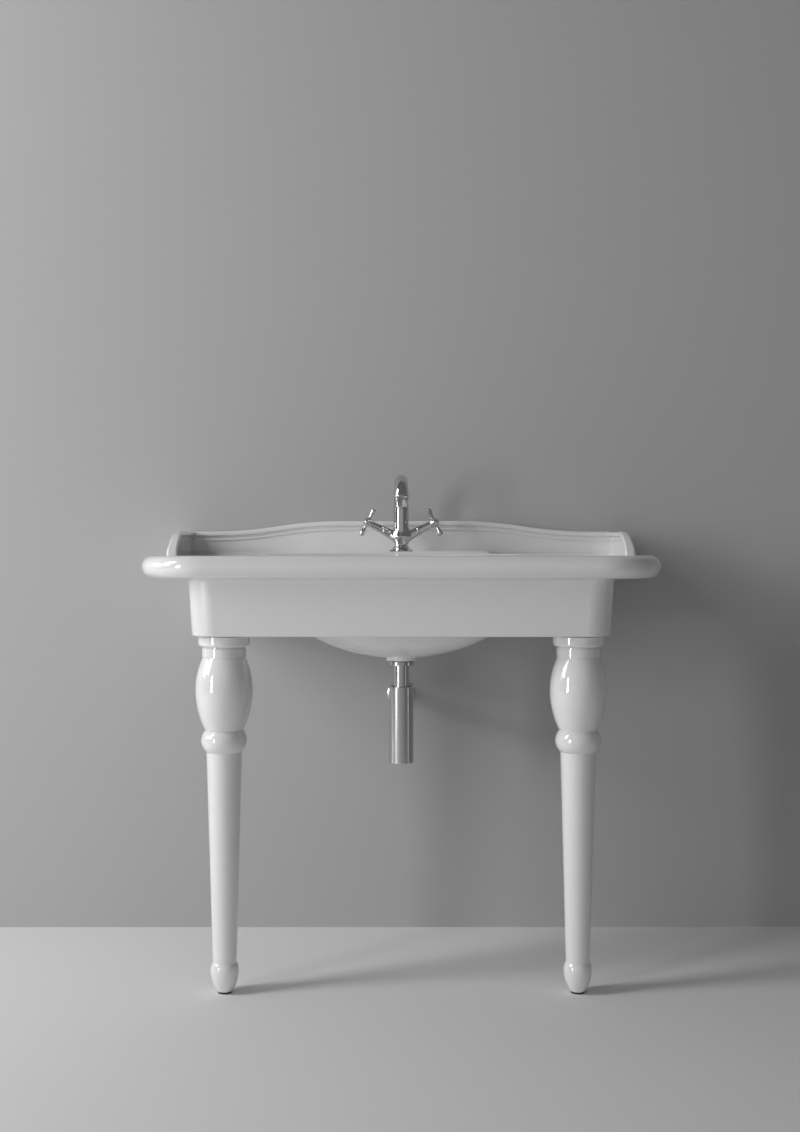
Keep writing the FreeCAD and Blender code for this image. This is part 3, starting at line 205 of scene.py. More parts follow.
def satin(name, color, along):
    """Steel brushed round its own axis, so its lines circle the pipe."""
    finish = Finish(name)
    stretch = [6.0, 6.0, 6.0]
    stretch[along] = 900.0
    lines = finish.noise(1.0, detail=5.0, roughness=0.75, stretch=tuple(stretch))
    broad = finish.noise(14.0, detail=3.0)
    return finish.surface(
        Base_Color=finish.mixed(lines, color, darkened(color, 0.86)),
        Metallic=1.0,
        Roughness=finish.spread(lines, 0.13, 0.21) + broad * 0.04,
        Normal=finish.bump(lines, 0.01 * MM),
    )


def rubber(name, dark, pale):
    """Matt moulded rubber with a faint bloom."""
    finish = Finish(name)
    grain = finish.noise(900.0, detail=3.0, roughness=0.6)
    bloom = finish.noise(30.0, detail=3.0)
    return finish.surface(
        Base_Color=finish.mixed(bloom, dark, pale),
        Roughness=finish.spread(grain, 0.55, 0.8),
        Normal=finish.bump(grain, 0.03 * MM),
    )


def zinc(name):
    """Zinc-plated steel with a fine crystal bloom."""
    finish = Finish(name)
    inputs = {"Vector": finish.place, "Scale": 520.0}
    crystals = finish.add("ShaderNodeTexVoronoi", {}, inputs, output="Distance")
    bloom = finish.noise(90.0, detail=4.0)
    return finish.surface(
        Base_Color=finish.mixed(bloom, (0.55, 0.56, 0.56), (0.70, 0.70, 0.68)),
        Metallic=1.0,
        Roughness=finish.spread(crystals, 0.28, 0.45, low=0.0),
        Normal=finish.bump(crystals, 0.01 * MM),
    )


def brass(name):
    """Turned brass with fine tool rings and some tarnish."""
    finish = Finish(name)
    turning = finish.noise(1.0, detail=4.0, roughness=0.7, stretch=(40.0, 40.0, 1400.0))
    tarnish = finish.noise(60.0, detail=4.0)
    return finish.surface(
        Base_Color=finish.mixed(tarnish, (0.70, 0.51, 0.23), (0.52, 0.36, 0.15)),
        Metallic=1.0,
        Roughness=finish.spread(turning, 0.2, 0.36),
        Normal=finish.bump(turning, 0.01 * MM),
    )


def nylon(name):
    """Dark moulded nylon that lets a little light in."""
    finish = Finish(name)
    flow = finish.noise(70.0, detail=3.0)
    grain = finish.noise(1200.0)
    return finish.surface(
        Base_Color=finish.mixed(flow, (0.10, 0.10, 0.11), (0.15, 0.15, 0.16)),
        Roughness=finish.spread(grain, 0.38, 0.55),
        Subsurface_Weight=0.04,
        Subsurface_Radius=[0.001, 0.001, 0.001],
        Normal=finish.bump(grain, 0.01 * MM),
    )


# The axis, Z or Y, that a brushed piece lies along.
UPRIGHT, LEVEL = 2, 1
TENTH = 0.1 * MM
ABOVE_ALL = 2.0
CHROME_GREY = (0.66, 0.67, 0.685)
STEEL_GREY = (0.68, 0.68, 0.69)
basin_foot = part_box("basin")[0].z
leg_low, leg_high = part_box("left_leg")
finishes = {
    "basin_glaze": glaze("white basin glaze", basin_foot + TENTH, ABOVE_ALL),
    "leg_glaze": glaze("white leg glaze", leg_low.z + 5 * TENTH, leg_high.z - TENTH),
    "tap_chrome": plated("bright chrome plate", CHROME_GREY, 0.05),
    "satin_upright": satin("satin steel, upright", STEEL_GREY, UPRIGHT),
    "satin_level": satin("satin steel, level", STEEL_GREY, LEVEL),
    "zinc_steel": zinc("zinc-plated steel"),
    "valve_brass": brass("turned brass"),
    "black_rubber": rubber("black rubber", (0.018, 0.018, 0.019), (0.045, 0.045, 0.047)),
    "pale_rubber": rubber("pale silicone rubber", (0.60, 0.60, 0.59), (0.66, 0.66, 0.65)),
    "grey_nylon": nylon("dark nylon"),
}
LEVEL_PIECES = ("outlet_pipe", "trap_outlet_nut", "wall_rosette")
PALE_GASKETS = ("left_leg_gasket", "right_leg_gasket")


# ------------------------------------------------------------- the source's pieces

def dress_cad_nodes():
    """Gives each node of the source its finish."""
    for part in frame["record"]["subparts"]:
        node = nodes[part["node"]]
        kind = part["material_slot"]
        if kind == "satin_trap":
            kind = "satin_level" if node.name in LEVEL_PIECES else "satin_upright"
        if node.name in PALE_GASKETS:
            kind = "pale_rubber"
        node.data.materials.clear()
        node.data.materials.append(finishes[kind])


dress_cad_nodes()


# ----------------------------------------------------------- pieces made in code

SHARP_EDGE = 32
SHARP_ON_CASTING = 70


def upright_arc(upright, other, steps=14):
    """Outline points on the arc that stands upright at its first end."""
    across, along = other[0] - upright[0], other[1] - upright[1]
    radius = (across ** 2 + along ** 2) / (2 * abs(across))
    whole = math.atan2(abs(along), radius - abs(across))
    points = []
    for step in range(steps + 1):
        turn = whole * step / steps
        points.append((
            upright[0] + math.copysign(radius * (1 - math.cos(turn)), across),
            upright[1] + math.copysign(radius * math.sin(turn), along),
        ))
    return points


def eased(outline, rounds):
    """The outline with its corners rubbed down a little, its two ends kept."""
    line = np.array(outline)
    for _ in range(rounds):
        line[1:-1] = (line[:-2] + 2 * line[1:-1] + line[2:]) / 4
    return line


def evened(outline, spacing):
    """The outline with points at even distances."""
    line = np.array(outline)
    steps = np.hypot(*np.diff(line, axis=0).T)
    travelled = np.concatenate([[0], np.cumsum(steps)])
    stops = np.linspace(0, travelled[-1], max(2, round(travelled[-1] / spacing)) + 1)
    return np.stack([np.interp(stops, travelled, line[:, side]) for side in (0, 1)], 1)


def add_piece(name, mesh, body, slot, stands_for=()):
    """Gives a finished mesh its finish and its body, and hides the nodes it stands for."""
    mesh.name = name
    mesh.materials.clear()
    mesh.materials.append(finishes[slot])
    piece = bpy.data.objects.new(name, mesh)
    bpy.context.scene.collection.objects.link(piece)
    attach(piece, body)
    if stands_for:
        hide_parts(*stands_for)


def smooth_up_to(mesh, degrees):
    """Shades the mesh smooth, up to edges that are sharper than this."""
    mesh.polygons.foreach_set("use_smooth", [True] * len(mesh.polygons))
    mesh.set_sharp_from_angle(angle=math.radians(degrees))


def mesh_of(shape, name):
    mesh = bpy.data.meshes.new(name)
    shape.to_mesh(mesh)
    shape.free()
    smooth_up_to(mesh, SHARP_EDGE)
    return mesh


def full_turn(around):
    return [2 * math.pi * step / around for step in range(around)]


def bridge(shape, rings):
    """Adds the faces between each ring of points and the next."""
    for low, high in zip(rings, rings[1:]):
        for step in range(len(low)):
            after = (step + 1) % len(low)
            shape.faces.new((low[step], low[after], high[after], high[step]))


def spun_mesh(outline, place, around=96, closed=False):
    """A turned shape. The outline holds (radius, height) in mm and place puts it on the object."""
    shape = bmesh.new()
    rings = []
    for radius, height in outline:
        ring = []
        for angle in full_turn(around):
            spot = Vector((radius * math.cos(angle), radius * math.sin(angle), height)) * MM
            ring.append(shape.verts.new(place @ spot))
        rings.append(ring)
    bridge(shape, rings + rings[:1] if closed else rings)
    bmesh.ops.remove_doubles(shape, verts=shape.verts, dist=1e-7)
    bmesh.ops.recalc_face_normals(shape, faces=shape.faces)
    return mesh_of(shape, "turned")


def joined(meshes):
    shape = bmesh.new()
    for mesh in meshes:
        shape.from_mesh(mesh)
        bpy.data.meshes.remove(mesh)
    return mesh_of(shape, "joined")


class TurnedForm:
    """A solid of revolution that can tell how far a point is from its skin."""

    def __init__(self, outline, foot=(0, 0, 0), axis=(0, 0, 1)):
        self.line = np.array(outline)
        self.foot = np.array(foot, float)
        self.axis = np.array(axis, float)

    def distance(self, points):
        reach = points - self.foot
        height = reach @ self.axis
        radius = np.sqrt(np.maximum((reach ** 2).sum(1) - height ** 2, 0))
        nearest = np.full(len(points), np.inf)
        inside = np.zeros(len(points), bool)
        for (r0, z0), (r1, z1) in zip(self.line, self.line[1:]):
            run, rise = r1 - r0, z1 - z0
            share = ((radius - r0) * run + (height - z0) * rise) / (run ** 2 + rise ** 2)
            share = np.clip(share, 0, 1)
            gap = (radius - r0 - share * run) ** 2 + (height - z0 - share * rise) ** 2
            nearest = np.minimum(nearest, gap)
            if rise:
                level = (height >= min(z0, z1)) & (height < max(z0, z1))
                inside ^= level & (radius < r0 + (height - z0) / rise * run)
        return np.sqrt(nearest) * np.where(inside, -1, 1)

    def rough_mesh(self, around=40):
        turn = Vector((0, 0, 1)).rotation_difference(Vector(self.axis)).to_matrix().to_4x4()
        place = Matrix.Translation(Vector(self.foot) * MM) @ turn
        return spun_mesh(self.line, place, around)


class Casting:
    """Turned forms run together with soft fillets, as in one casting. Sizes are in mm."""

    NUDGE = 0.02
    LEAST_SLOPE = 0.25
    LONGEST_STEP = 1
    EVENING_ROUNDS = 6
    OWN_SHARE, NEIGHBOURS_SHARE = 0.4, 0.6

    def __init__(self, forms, fillet):
        self.forms = forms
        self.fillet = fillet

    def distance(self, points):
        total = self.forms[0].distance(points)
        for form in self.forms[1:]:
            other = form.distance(points)
            overlap = np.maximum(self.fillet - np.abs(total - other), 0) / self.fillet
            total = np.minimum(total, other) - overlap ** 2 * self.fillet / 4
        return total

    def settle(self, points, rounds):
        """Moves points onto the casting's skin."""
        for _ in range(rounds):
            here = self.distance(points)
            ahead = [self.distance(points + self.NUDGE * side) for side in np.eye(3)]
            slope = np.stack([there - here for there in ahead], 1) / self.NUDGE
            steep = np.maximum((slope ** 2).sum(1), self.LEAST_SLOPE)
            step = np.clip(here / steep, -self.LONGEST_STEP, self.LONGEST_STEP)
            points = points - step[:, None] * slope
        return points

    def rough_skin(self, grain):
        """One coarse skin round all the forms, with a point about every grain mm."""
        rough = joined([form.rough_mesh() for form in self.forms])
        holder = bpy.data.objects.new("rough casting", rough)
        bpy.context.scene.collection.objects.link(holder)
        remesh = holder.modifiers.new("even", "REMESH")
        remesh.mode = "VOXEL"
        remesh.voxel_size = grain * MM
        depsgraph = bpy.context.evaluated_depsgraph_get()
        skin = bpy.data.meshes.new_from_object(holder.evaluated_get(depsgraph))
        bpy.data.objects.remove(holder)
        return skin

    def mesh(self, grain, place):
        """The skin as an even mesh, settled on the casting and put in its place."""
        skin = self.rough_skin(grain)
        points = np.empty(len(skin.vertices) * 3)
        skin.vertices.foreach_get("co", points)
        points = points.reshape(-1, 3) / MM
        ends = np.empty(len(skin.edges) * 2, int)
        skin.edges.foreach_get("vertices", ends)
        start, end = ends.reshape(-1, 2).T
        links = np.bincount(ends, minlength=len(points))[:, None]
        points = self.settle(points, 3)
        for _ in range(self.EVENING_ROUNDS):
            around = np.zeros_like(points)
            np.add.at(around, start, points[end])
            np.add.at(around, end, points[start])
            eased_points = points * self.OWN_SHARE + around / links * self.NEIGHBOURS_SHARE
            points = self.settle(eased_points, 1)
        points = self.settle(points, 2) * MM
        skin.vertices.foreach_set("co", points.ravel())
        skin.transform(place)
        skin.update()
        smooth_up_to(skin, SHARP_ON_CASTING)
        return skin


# The mixer, in millimetres from the middle of its foot.
TAP_PLACE = Matrix.Translation((0, 0.150, 0.861))
SIDES = {"left": -1, "right": 1}
FOOT_RADIUS, FOOT_LIP = 25.5, 2.5
SPIGOT_RADIUS, SPIGOT_LENGTH, SPIGOT_CHAMFER = 17, 6, 0.6
WAIST_RADIUS, WAIST_HEIGHT = 15.2, 15
BULB_RADIUS, BULB_HEIGHT = 21.5, 31
COLUMN_RADIUS, NECK_HEIGHT = 16.7, 50
ARM_HEIGHT, ARM_TILT, ARM_ROOT, ARM_END, ARM_LENGTH = 25, 27, 14, 9.2, 44
BEAD_LENGTH, BEAD_BULGE, BEAD_ROOT = 4, 1.6, 2.6
ARCH_HEIGHT, ARCH_RADIUS, ARCH_RUN = 85, 64, 18
FRONT_RADIUS, FRONT_TURN = 38, 80
CROWN_RADIUS, MOUTH_RADIUS, MOUTH_BORE, MOUTH_DEPTH = 14, 15.8, 12.5, 10.0
AERATOR_DEPTH, AERATOR_BORE, PORT_OFFSET = 5.5, 9.5, 8.5
HANDLE_REACH, HUB_RADIUS = 82.5, 10
HUB_BASE, HUB_BASE_RADIUS, HUB_TOP, HUB_TOP_RADIUS = 9.5, 7.6, 7, 7.5
SPOKE_ROOT, SPOKE_END, SPOKE_LENGTH, SPOKE_NECK, SPOKE_CAP = 3.2, 6.0, 33, 8, 4


def on_arm(side, reach):
    """A frame whose Z runs out along an arm, reach mm from the column's axis."""
    lean = Matrix.Rotation(math.radians(SIDES[side] * (90 - ARM_TILT)), 4, "Y")
    height = Matrix.Translation((0, 0, ARM_HEIGHT * MM))
    return TAP_PLACE @ height @ lean @ Matrix.Translation((0, 0, reach * MM))


def front_arc(angle):
    """How far forward and how high the spout's middle line is, on its way down."""
    forward = ARCH_RADIUS + ARCH_RUN + FRONT_RADIUS * math.sin(angle)
    up = ARCH_HEIGHT + ARCH_RADIUS - FRONT_RADIUS * (1 - math.cos(angle))
    return forward, up


def make_tap_foot():
    """The crisp turned foot with the spigot that goes through the deck."""
    waist = upright_arc((WAIST_RADIUS, WAIST_HEIGHT), (FOOT_RADIUS, FOOT_LIP), 20)
    outline = [
        (0, -SPIGOT_LENGTH),
        (SPIGOT_RADIUS - SPIGOT_CHAMFER, -SPIGOT_LENGTH),
        (SPIGOT_RADIUS, SPIGOT_CHAMFER - SPIGOT_LENGTH),
        (SPIGOT_RADIUS, 0),
        (FOOT_RADIUS - 0.4, 0),
        (FOOT_RADIUS, 0.4),
        (FOOT_RADIUS, FOOT_LIP - 0.3),
        *reversed(waist[:-1]),
        (WAIST_RADIUS - 2, WAIST_HEIGHT),
        (0, WAIST_HEIGHT),
    ]
    add_piece("tap_foot", spun_mesh(outline, TAP_PLACE), "console", "tap_chrome", ["tap_body"])


def make_tap_casting():
    """Waist, bulb, neck and both arms, run together as one polished casting."""
    bottom, top = WAIST_HEIGHT - 3, NECK_HEIGHT + 12
    flare = upright_arc((WAIST_RADIUS, WAIST_HEIGHT), (BULB_RADIUS, BULB_HEIGHT))
    neck = upright_arc((COLUMN_RADIUS, NECK_HEIGHT), (BULB_RADIUS, BULB_HEIGHT))
    profile = evened([*flare, *reversed(neck[:-1]), (COLUMN_RADIUS, top)], 0.7)
    outline = [
        (0, bottom),
        (WAIST_RADIUS - 0.4, bottom),
        (WAIST_RADIUS, WAIST_HEIGHT - 0.2),
        *eased(profile, 8),
        (0, top),
    ]
    forms = [TurnedForm(outline)]
    tilt = math.radians(ARM_TILT)
    arm_top = ARM_LENGTH - 2
    arm = [(0, 0), (ARM_ROOT, 0), (ARM_END, ARM_LENGTH - BEAD_LENGTH), (ARM_END, arm_top),
           (0, arm_top)]
    for side in SIDES.values():
        along = (side * math.cos(tilt), 0, math.sin(tilt))
        forms.append(TurnedForm(arm, (0, 0, ARM_HEIGHT), along))
    casting = Casting(forms, fillet=7.0)
    mesh = casting.mesh(0.8, TAP_PLACE)
    add_piece("tap_casting", mesh, "console", "tap_chrome", ["tap_body"])


def make_arm_bead(side):
    """The round bead where an arm ends and its bonnet starts."""
    half = BEAD_LENGTH / 2
    steps = 16
    outline = [(ARM_END - BEAD_ROOT, -BEAD_LENGTH)]
    for step in range(steps + 1):
        turn = math.pi * step / steps
        outline.append((ARM_END + BEAD_BULGE * math.sin(turn), -half - half * math.cos(turn)))
    outline.append((ARM_END - BEAD_ROOT, 0))
    mesh = spun_mesh(outline, on_arm(side, ARM_LENGTH), closed=True)
    add_piece(f"{side}_arm_bead", mesh, "console", "tap_chrome", ["tap_body"])


def spout_stations():
    """Rings along the swan neck: how far forward, how high, its lean and its radius."""
    stations = [(0, height, 0, COLUMN_RADIUS) for height in (NECK_HEIGHT + 4, 62, 70, 78)]
    steps = 30
    for step in range(steps + 1):
        share = step / steps
        angle = math.pi / 2 * share
        forward = ARCH_RADIUS * (1 - math.cos(angle))
        up = ARCH_HEIGHT + ARCH_RADIUS * math.sin(angle)
        radius = CROWN_RADIUS + (COLUMN_RADIUS - CROWN_RADIUS) * (1 - share) ** 2
        stations.append((forward, up, angle, radius))
    steps = 24
    for step in range(steps + 1):
        share = step / steps
        angle = math.radians(FRONT_TURN) * share
        radius = CROWN_RADIUS + (MOUTH_RADIUS - CROWN_RADIUS) * share ** 2
        stations.append((*front_arc(angle), math.pi / 2 + angle, radius))
    forward, up, lean, _ = stations[-1]
    stations.append((forward, up, lean, MOUTH_BORE))
    forward -= MOUTH_DEPTH * math.sin(lean)
    up -= MOUTH_DEPTH * math.cos(lean)
    stations.append((forward, up, lean, MOUTH_BORE))
    return stations


def make_spout():
    """The swan neck, slimmest at its crown, open at the mouth for the aerator."""
    shape = bmesh.new()
    rings = []
    for forward, up, lean, radius in spout_stations():
        ring = []
        for spin in full_turn(72):
            aside, ahead = radius * math.cos(spin), radius * math.sin(spin)
            spot = (aside, ahead * math.cos(lean) - forward, up + ahead * math.sin(lean))
            ring.append(shape.verts.new(TAP_PLACE @ (Vector(spot) * MM)))
        rings.append(ring)
    bridge(shape, rings)
    shape.faces.new(rings[0])
    shape.faces.new(rings[-1])
    bmesh.ops.recalc_face_normals(shape, faces=shape.faces)
    add_piece("tap_spout", mesh_of(shape, "spout"), "console", "tap_chrome", ["tap_body"])


def make_hose_sockets():
    """The two threaded sockets for the hoses, under the spigot."""
    outline = [(4.5, 1), (4.5, -3.2), (5.0, -3.6), (5.6, -3.6), (5.9, -3.2), (5.9, 1)]
    sockets = []
    for side in SIDES.values():
        shift = Matrix.Translation((side * PORT_OFFSET * MM, 0, -SPIGOT_LENGTH * MM))
        sockets.append(spun_mesh(outline, TAP_PLACE @ shift, 40, closed=True))
    add_piece("tap_hose_sockets", joined(sockets), "console", "valve_brass", ["tap_body"])


def spoke_outline():
    """A club: a slim neck that swells towards a rounded cap."""
    outline = [(0, 0), (SPOKE_ROOT + 0.2, 0)]
    crown = SPOKE_LENGTH - SPOKE_CAP
    steps = 12
    for step in range(1, steps + 1):
        share = step / steps
        swell = (SPOKE_END - SPOKE_ROOT) * (3 * share ** 2 - 2 * share ** 3)
        outline.append((SPOKE_ROOT + swell, SPOKE_NECK + (crown - SPOKE_NECK) * share))
    steps = 8
    for step in range(1, steps + 1):
        turn = math.pi / 2 * step / steps
        outline.append((SPOKE_END * math.cos(turn), crown + SPOKE_CAP * math.sin(turn)))
    return outline


def make_cross_handle(side):
    """Hub and four club-shaped spokes in one polished casting."""
    base = upright_arc((HUB_RADIUS, 0), (HUB_BASE_RADIUS, -HUB_BASE))
    top = upright_arc((HUB_RADIUS, 0), (HUB_TOP_RADIUS, HUB_TOP))
    hub = [
        (0, -HUB_BASE),
        (HUB_BASE_RADIUS - 0.6, -HUB_BASE),
        *reversed(base),
        *top[1:],
        (0, HUB_TOP),
    ]
    forms = [TurnedForm(hub)]
    for axis in ((1, 0, 0), (0, 1, 0), (-1, 0, 0), (0, -1, 0)):
        forms.append(TurnedForm(spoke_outline(), axis=axis))
    casting = Casting(forms, fillet=3.0)
    mesh = casting.mesh(0.6, on_arm(side, HANDLE_REACH))
    body = f"{side}_handle_group"
    add_piece(f"{side}_cross_handle", mesh, body, "tap_chrome", [f"{side}_handle"])


make_tap_foot()
make_tap_casting()
make_spout()
make_hose_sockets()
for side in SIDES:
    make_arm_bead(side)
    make_cross_handle(side)


# ---------------------------------------------------------- what repeats in rows

class Pattern(NodeTree):
    """A small tree of geometry nodes with named sizes, made into one plain mesh."""

    def __init__(self, name, sizes):
        super().__init__(bpy.data.node_groups.new(name, "GeometryNodeTree"))
        sockets = self.tree.interface
        sockets.new_socket("Mesh", in_out="OUTPUT", socket_type="NodeSocketGeometry")
        for size in sizes:
            kind = "NodeSocketInt" if isinstance(sizes[size], int) else "NodeSocketFloat"
            sockets.new_socket(size, in_out="INPUT", socket_type=kind)
        self.sizes = sizes
        self.given = self.tree.nodes.new("NodeGroupInput")

    def size(self, name):
        return Value(self, self.given.outputs[name])

    def mesh(self, geometry, slot):
        """Closes the tree with its finish and hands over the mesh it makes."""
        real = self.add("GeometryNodeRealizeInstances", {}, [geometry])
        inputs = {"Geometry": real, "Material": finishes[slot]}
        dressed = self.add("GeometryNodeSetMaterial", {}, inputs)
        self.add("NodeGroupOutput", {}, [dressed])
        holder = bpy.data.objects.new("pattern", bpy.data.meshes.new("pattern"))
        bpy.context.scene.collection.objects.link(holder)
        modifier = holder.modifiers.new("pattern", "NODES")
        modifier.node_group = self.tree
        for item in self.tree.interface.items_tree:
            if item.in_out == "INPUT":
                modifier[item.identifier] = self.sizes[item.name]
        depsgraph = bpy.context.evaluated_depsgraph_get()
        made = bpy.data.meshes.new_from_object(holder.evaluated_get(depsgraph))
        holder.modifiers.remove(modifier)
        bpy.data.objects.remove(holder)
        return made


STUD_PITCHES = {"left_leg_stud": 1.75, "right_leg_stud": 1.75, "tap_stud": 1.25}
RIDGE_SHARE = 0.42
ROOT_SHARE = 0.3
WIRE_COUNT, WIRE_GAP, WIRE_RADIUS, LAYER_GAP = 15, 1.2, 0.16, 0.3


def thread_mesh(radius, length, pitch):
    """Rolled ridges, one every pitch mm along Z, from 0 to the length."""
    pattern = Pattern("thread ridges", {
        "Radius": radius * MM,
        "Pitch": pitch * MM,
        "Ridges": int(length / pitch),
        "Ridge": pitch * RIDGE_SHARE * MM,
    })
    path = pattern.add("GeometryNodeCurvePrimitiveCircle", {}, {
        "Resolution": 32, "Radius": pattern.size("Radius")})
    profile = pattern.add("GeometryNodeCurvePrimitiveCircle", {}, {
        "Resolution": 4, "Radius": pattern.size("Ridge")})
    ridge = pattern.add("GeometryNodeCurveToMesh", {}, {
        "Curve": path, "Profile Curve": profile})
    offset = pattern.add("ShaderNodeCombineXYZ", {}, {"Z": pattern.size("Pitch")})
    row = pattern.add("GeometryNodeMeshLine", {}, {
        "Count": pattern.size("Ridges"), "Offset": offset})
    rows = pattern.add("GeometryNodeInstanceOnPoints", {}, {"Points": row, "Instance": ridge})
    return pattern.mesh(rows, "zinc_steel")


def make_stud_threads():
    """Thread ridges on the leg studs and the tap's stud."""
    rows = []
    for name, pitch in STUD_PITCHES.items():
        low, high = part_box(name)
        radius = (high.x - low.x) / 2 / MM - pitch * ROOT_SHARE
        mesh = thread_mesh(radius, (high.z - low.z) / MM - pitch, pitch)
        middle = (low + high) / 2
        mesh.transform(Matrix.Translation((middle.x, middle.y, low.z + pitch / 2 * MM)))
        rows.append(mesh)
    whole = joined(rows)
    add_piece("stud_threads", whole, "console", "zinc_steel")


def wire_layer():
    """Level wires side by side, each as long as the round bore lets it be."""
    pattern = Pattern("aerator wires", {
        "Bore": AERATOR_BORE * MM,
        "Gap": WIRE_GAP * MM,
        "Wires": WIRE_COUNT,
        "Wire": WIRE_RADIUS * MM,
    })
    first = (pattern.size("Wires") - 1.0) * pattern.size("Gap") * -0.5
    start = pattern.add("ShaderNodeCombineXYZ", {}, {"X": first})
    offset = pattern.add("ShaderNodeCombineXYZ", {}, {"X": pattern.size("Gap")})
    row = pattern.add("GeometryNodeMeshLine", {}, {
        "Count": pattern.size("Wires"), "Start Location": start, "Offset": offset})
    spot = pattern.add("GeometryNodeInputPosition")
    aside = pattern.add("ShaderNodeSeparateXYZ", {}, [spot], output="X")
    half = (pattern.size("Bore") * pattern.size("Bore") - aside * aside).sum("SQRT")
    wire = pattern.add("GeometryNodeMeshCylinder", {}, {
        "Vertices": 8, "Radius": pattern.size("Wire"), "Depth": 2.0})
    lengths = pattern.add("ShaderNodeCombineXYZ", {}, {"X": 1.0, "Y": 1.0, "Z": half})
    rows = pattern.add("GeometryNodeInstanceOnPoints", {}, {
        "Points": row, "Instance": wire, "Rotation": (math.pi / 2, 0, 0), "Scale": lengths})
    return pattern.mesh(rows, "zinc_steel")


def make_aerator_mesh():
    """The fine crossed wires in the aerator, cut to the round of its bore."""
    layers = []
    for height, turn in ((0, 0), (LAYER_GAP, 90)):
        layer = wire_layer()
        lift = Matrix.Translation((0, 0, height * MM))
        layer.transform(Matrix.Rotation(math.radians(turn), 4, "Z") @ lift)
        layers.append(layer)
    forward, up = front_arc(math.radians(FRONT_TURN))
    lean = Matrix.Rotation(math.radians(90 + FRONT_TURN), 4, "X")
    mouth = TAP_PLACE @ Matrix.Translation((0, -forward * MM, up * MM)) @ lean
    whole = joined(layers)
    whole.transform(mouth @ Matrix.Translation((0, 0, (AERATOR_DEPTH + 0.2) * MM)))
    add_piece("aerator_wires", whole, "console", "zinc_steel")


make_stud_threads()
make_aerator_mesh()


# ------------------------------------------------------------------------ studio

FLOOR_GREY = 0.85
WALL_GREY = 0.52
PATCH_SHADE = 0.985
REACH = 9.0
WALL_HEIGHT = 6.0
WALL_GAP = 0.001
LIGHT_GAP = 1.6 * WALL_GAP
AIR_GREY = 0.5
DULL_AIR, SHINY_AIR = 0.17, 0.26
# Place, target, width, height and watts.
LAMPS = {
    "lamp at the side": ((-4.0, -0.30, 1.8), (0.0, -0.1, 0.4), 1.2, 1.2, 13),
    "strip in front": ((-4.3, -4.1, 1.15), (0.0, 0.0, 0.7), 0.8, 2.1, 62),
    "high strip": ((-3.3, -1.2, 2.5), (0.0, -0.1, 0.6), 0.9, 2.1, 69),
    "dim panel": ((-0.6, -5.4, 1.8), (0.0, 0.0, 0.7), 8.0, 3.6, 20),
    "lamp behind the wall": ((-1.6, 4.2, 2.6), (0.0, 0.3, 0.7), 3.0, 2.0, 60),
}
CAMERA_PLACE = (-0.0025, -2.890, 0.886)
CAMERA_DIP = 1.1
FRAME_HEIGHT, FOCAL_LENGTH = 1132, 1386
SENSOR_HEIGHT = 36
wall_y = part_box("basin")[1].y + WALL_GAP


def backdrop(name, tone, touch=0.0):
    """A matt paint that is clear from behind, and for light that leaves a face it touches."""
    finish = Finish(name)
    patches = finish.noise(1.3)
    color = (tone, tone, tone)
    inputs = {"Color": finish.mixed(patches, color, darkened(color, PATCH_SHADE))}
    paint = finish.add("ShaderNodeBsdfDiffuse", {}, inputs)
    behind = finish.add("ShaderNodeNewGeometry", {}, output="Backfacing")
    near = finish.add("ShaderNodeLightPath", output="Ray Length").below(touch)
    clear = finish.add("ShaderNodeBsdfTransparent")
    shader = finish.add("ShaderNodeMixShader", {}, [behind.largest(near), paint, clear])
    return finish.closed(shader)


def plane(name, corners, material):
    mesh = bpy.data.meshes.new(name)
    mesh.from_pydata(corners, [], [(0, 1, 2, 3)])
    mesh.materials.append(material)
    panel = bpy.data.objects.new(name, mesh)
    bpy.context.scene.collection.objects.link(panel)


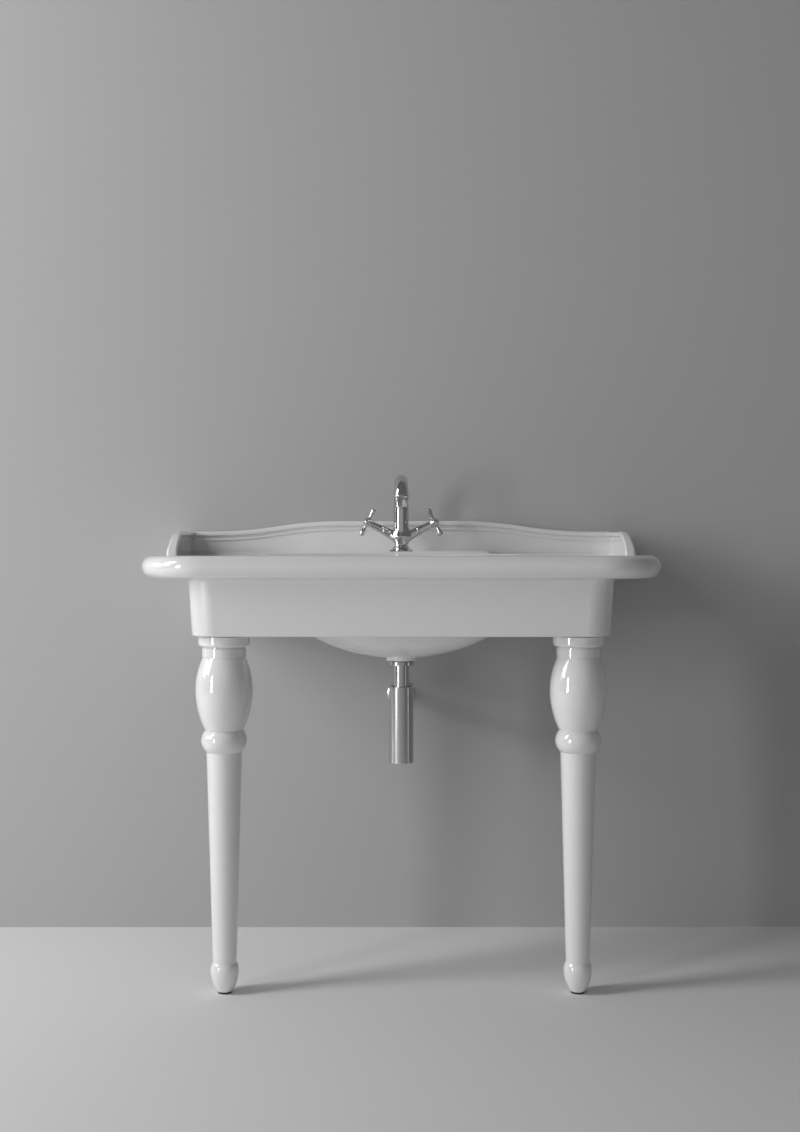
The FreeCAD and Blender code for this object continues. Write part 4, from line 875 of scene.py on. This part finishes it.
def build_room():
    """Floor and wall. The floor goes on behind the wall, for the views from the back."""
    floor = [(-REACH, -REACH, 0), (REACH, -REACH, 0), (REACH, REACH, 0), (-REACH, REACH, 0)]
    wall = [(-REACH, wall_y, 0), (REACH, wall_y, 0),
            (REACH, wall_y, WALL_HEIGHT), (-REACH, wall_y, WALL_HEIGHT)]
    plane("floor", floor, backdrop("floor paint", FLOOR_GREY))
    plane("wall", wall, backdrop("wall paint", WALL_GREY, LIGHT_GAP))


def soft_light(name, place, target, width, height, power):
    data = bpy.data.lights.new(name, "AREA")
    data.shape = "RECTANGLE"
    data.size = width
    data.size_y = height
    data.energy = power
    lamp = bpy.data.objects.new(name, data)
    lamp.location = place
    lamp.rotation_euler = (Vector(target) - Vector(place)).to_track_quat("-Z", "Y").to_euler()
    bpy.context.scene.collection.objects.link(lamp)


def build_air():
    """Dim studio air. It looks a little lighter in chrome and glaze, and far lighter itself."""
    world = bpy.data.worlds.new("studio air")
    world.use_nodes = True
    air = NodeTree(world.node_tree)
    mirrored = air.add("ShaderNodeLightPath", output="Is Glossy Ray")
    seen = air.add("ShaderNodeLightPath", output="Is Camera Ray")
    dim = air.add("ShaderNodeMapRange", {}, {
        "Value": mirrored, "To Min": DULL_AIR, "To Max": SHINY_AIR})
    background = world.node_tree.nodes["Background"]
    background.inputs["Color"].default_value = (AIR_GREY, AIR_GREY, AIR_GREY, 1)
    air.give(background.inputs["Strength"], seen.largest(dim))
    bpy.context.scene.world = world


def build_light():
    """A soft lamp and two strips on the left, a broad dim panel, and a lamp behind the wall."""
    for name, settings in LAMPS.items():
        soft_light(name, *settings)
    build_air()
    bpy.context.scene.view_settings.view_transform = "Standard"


def build_camera():
    """The photograph's view: a little above the rim and a little over a degree down."""
    data = bpy.data.cameras.new("camera")
    data.sensor_fit = "VERTICAL"
    data.sensor_height = SENSOR_HEIGHT
    data.lens = FOCAL_LENGTH / FRAME_HEIGHT * SENSOR_HEIGHT
    camera = bpy.data.objects.new("camera", data)
    camera.location = CAMERA_PLACE
    camera.rotation_euler = (math.radians(90 - CAMERA_DIP), 0, 0)
    bpy.context.scene.collection.objects.link(camera)
    bpy.context.scene.camera = camera


build_room()
build_light()
build_camera()
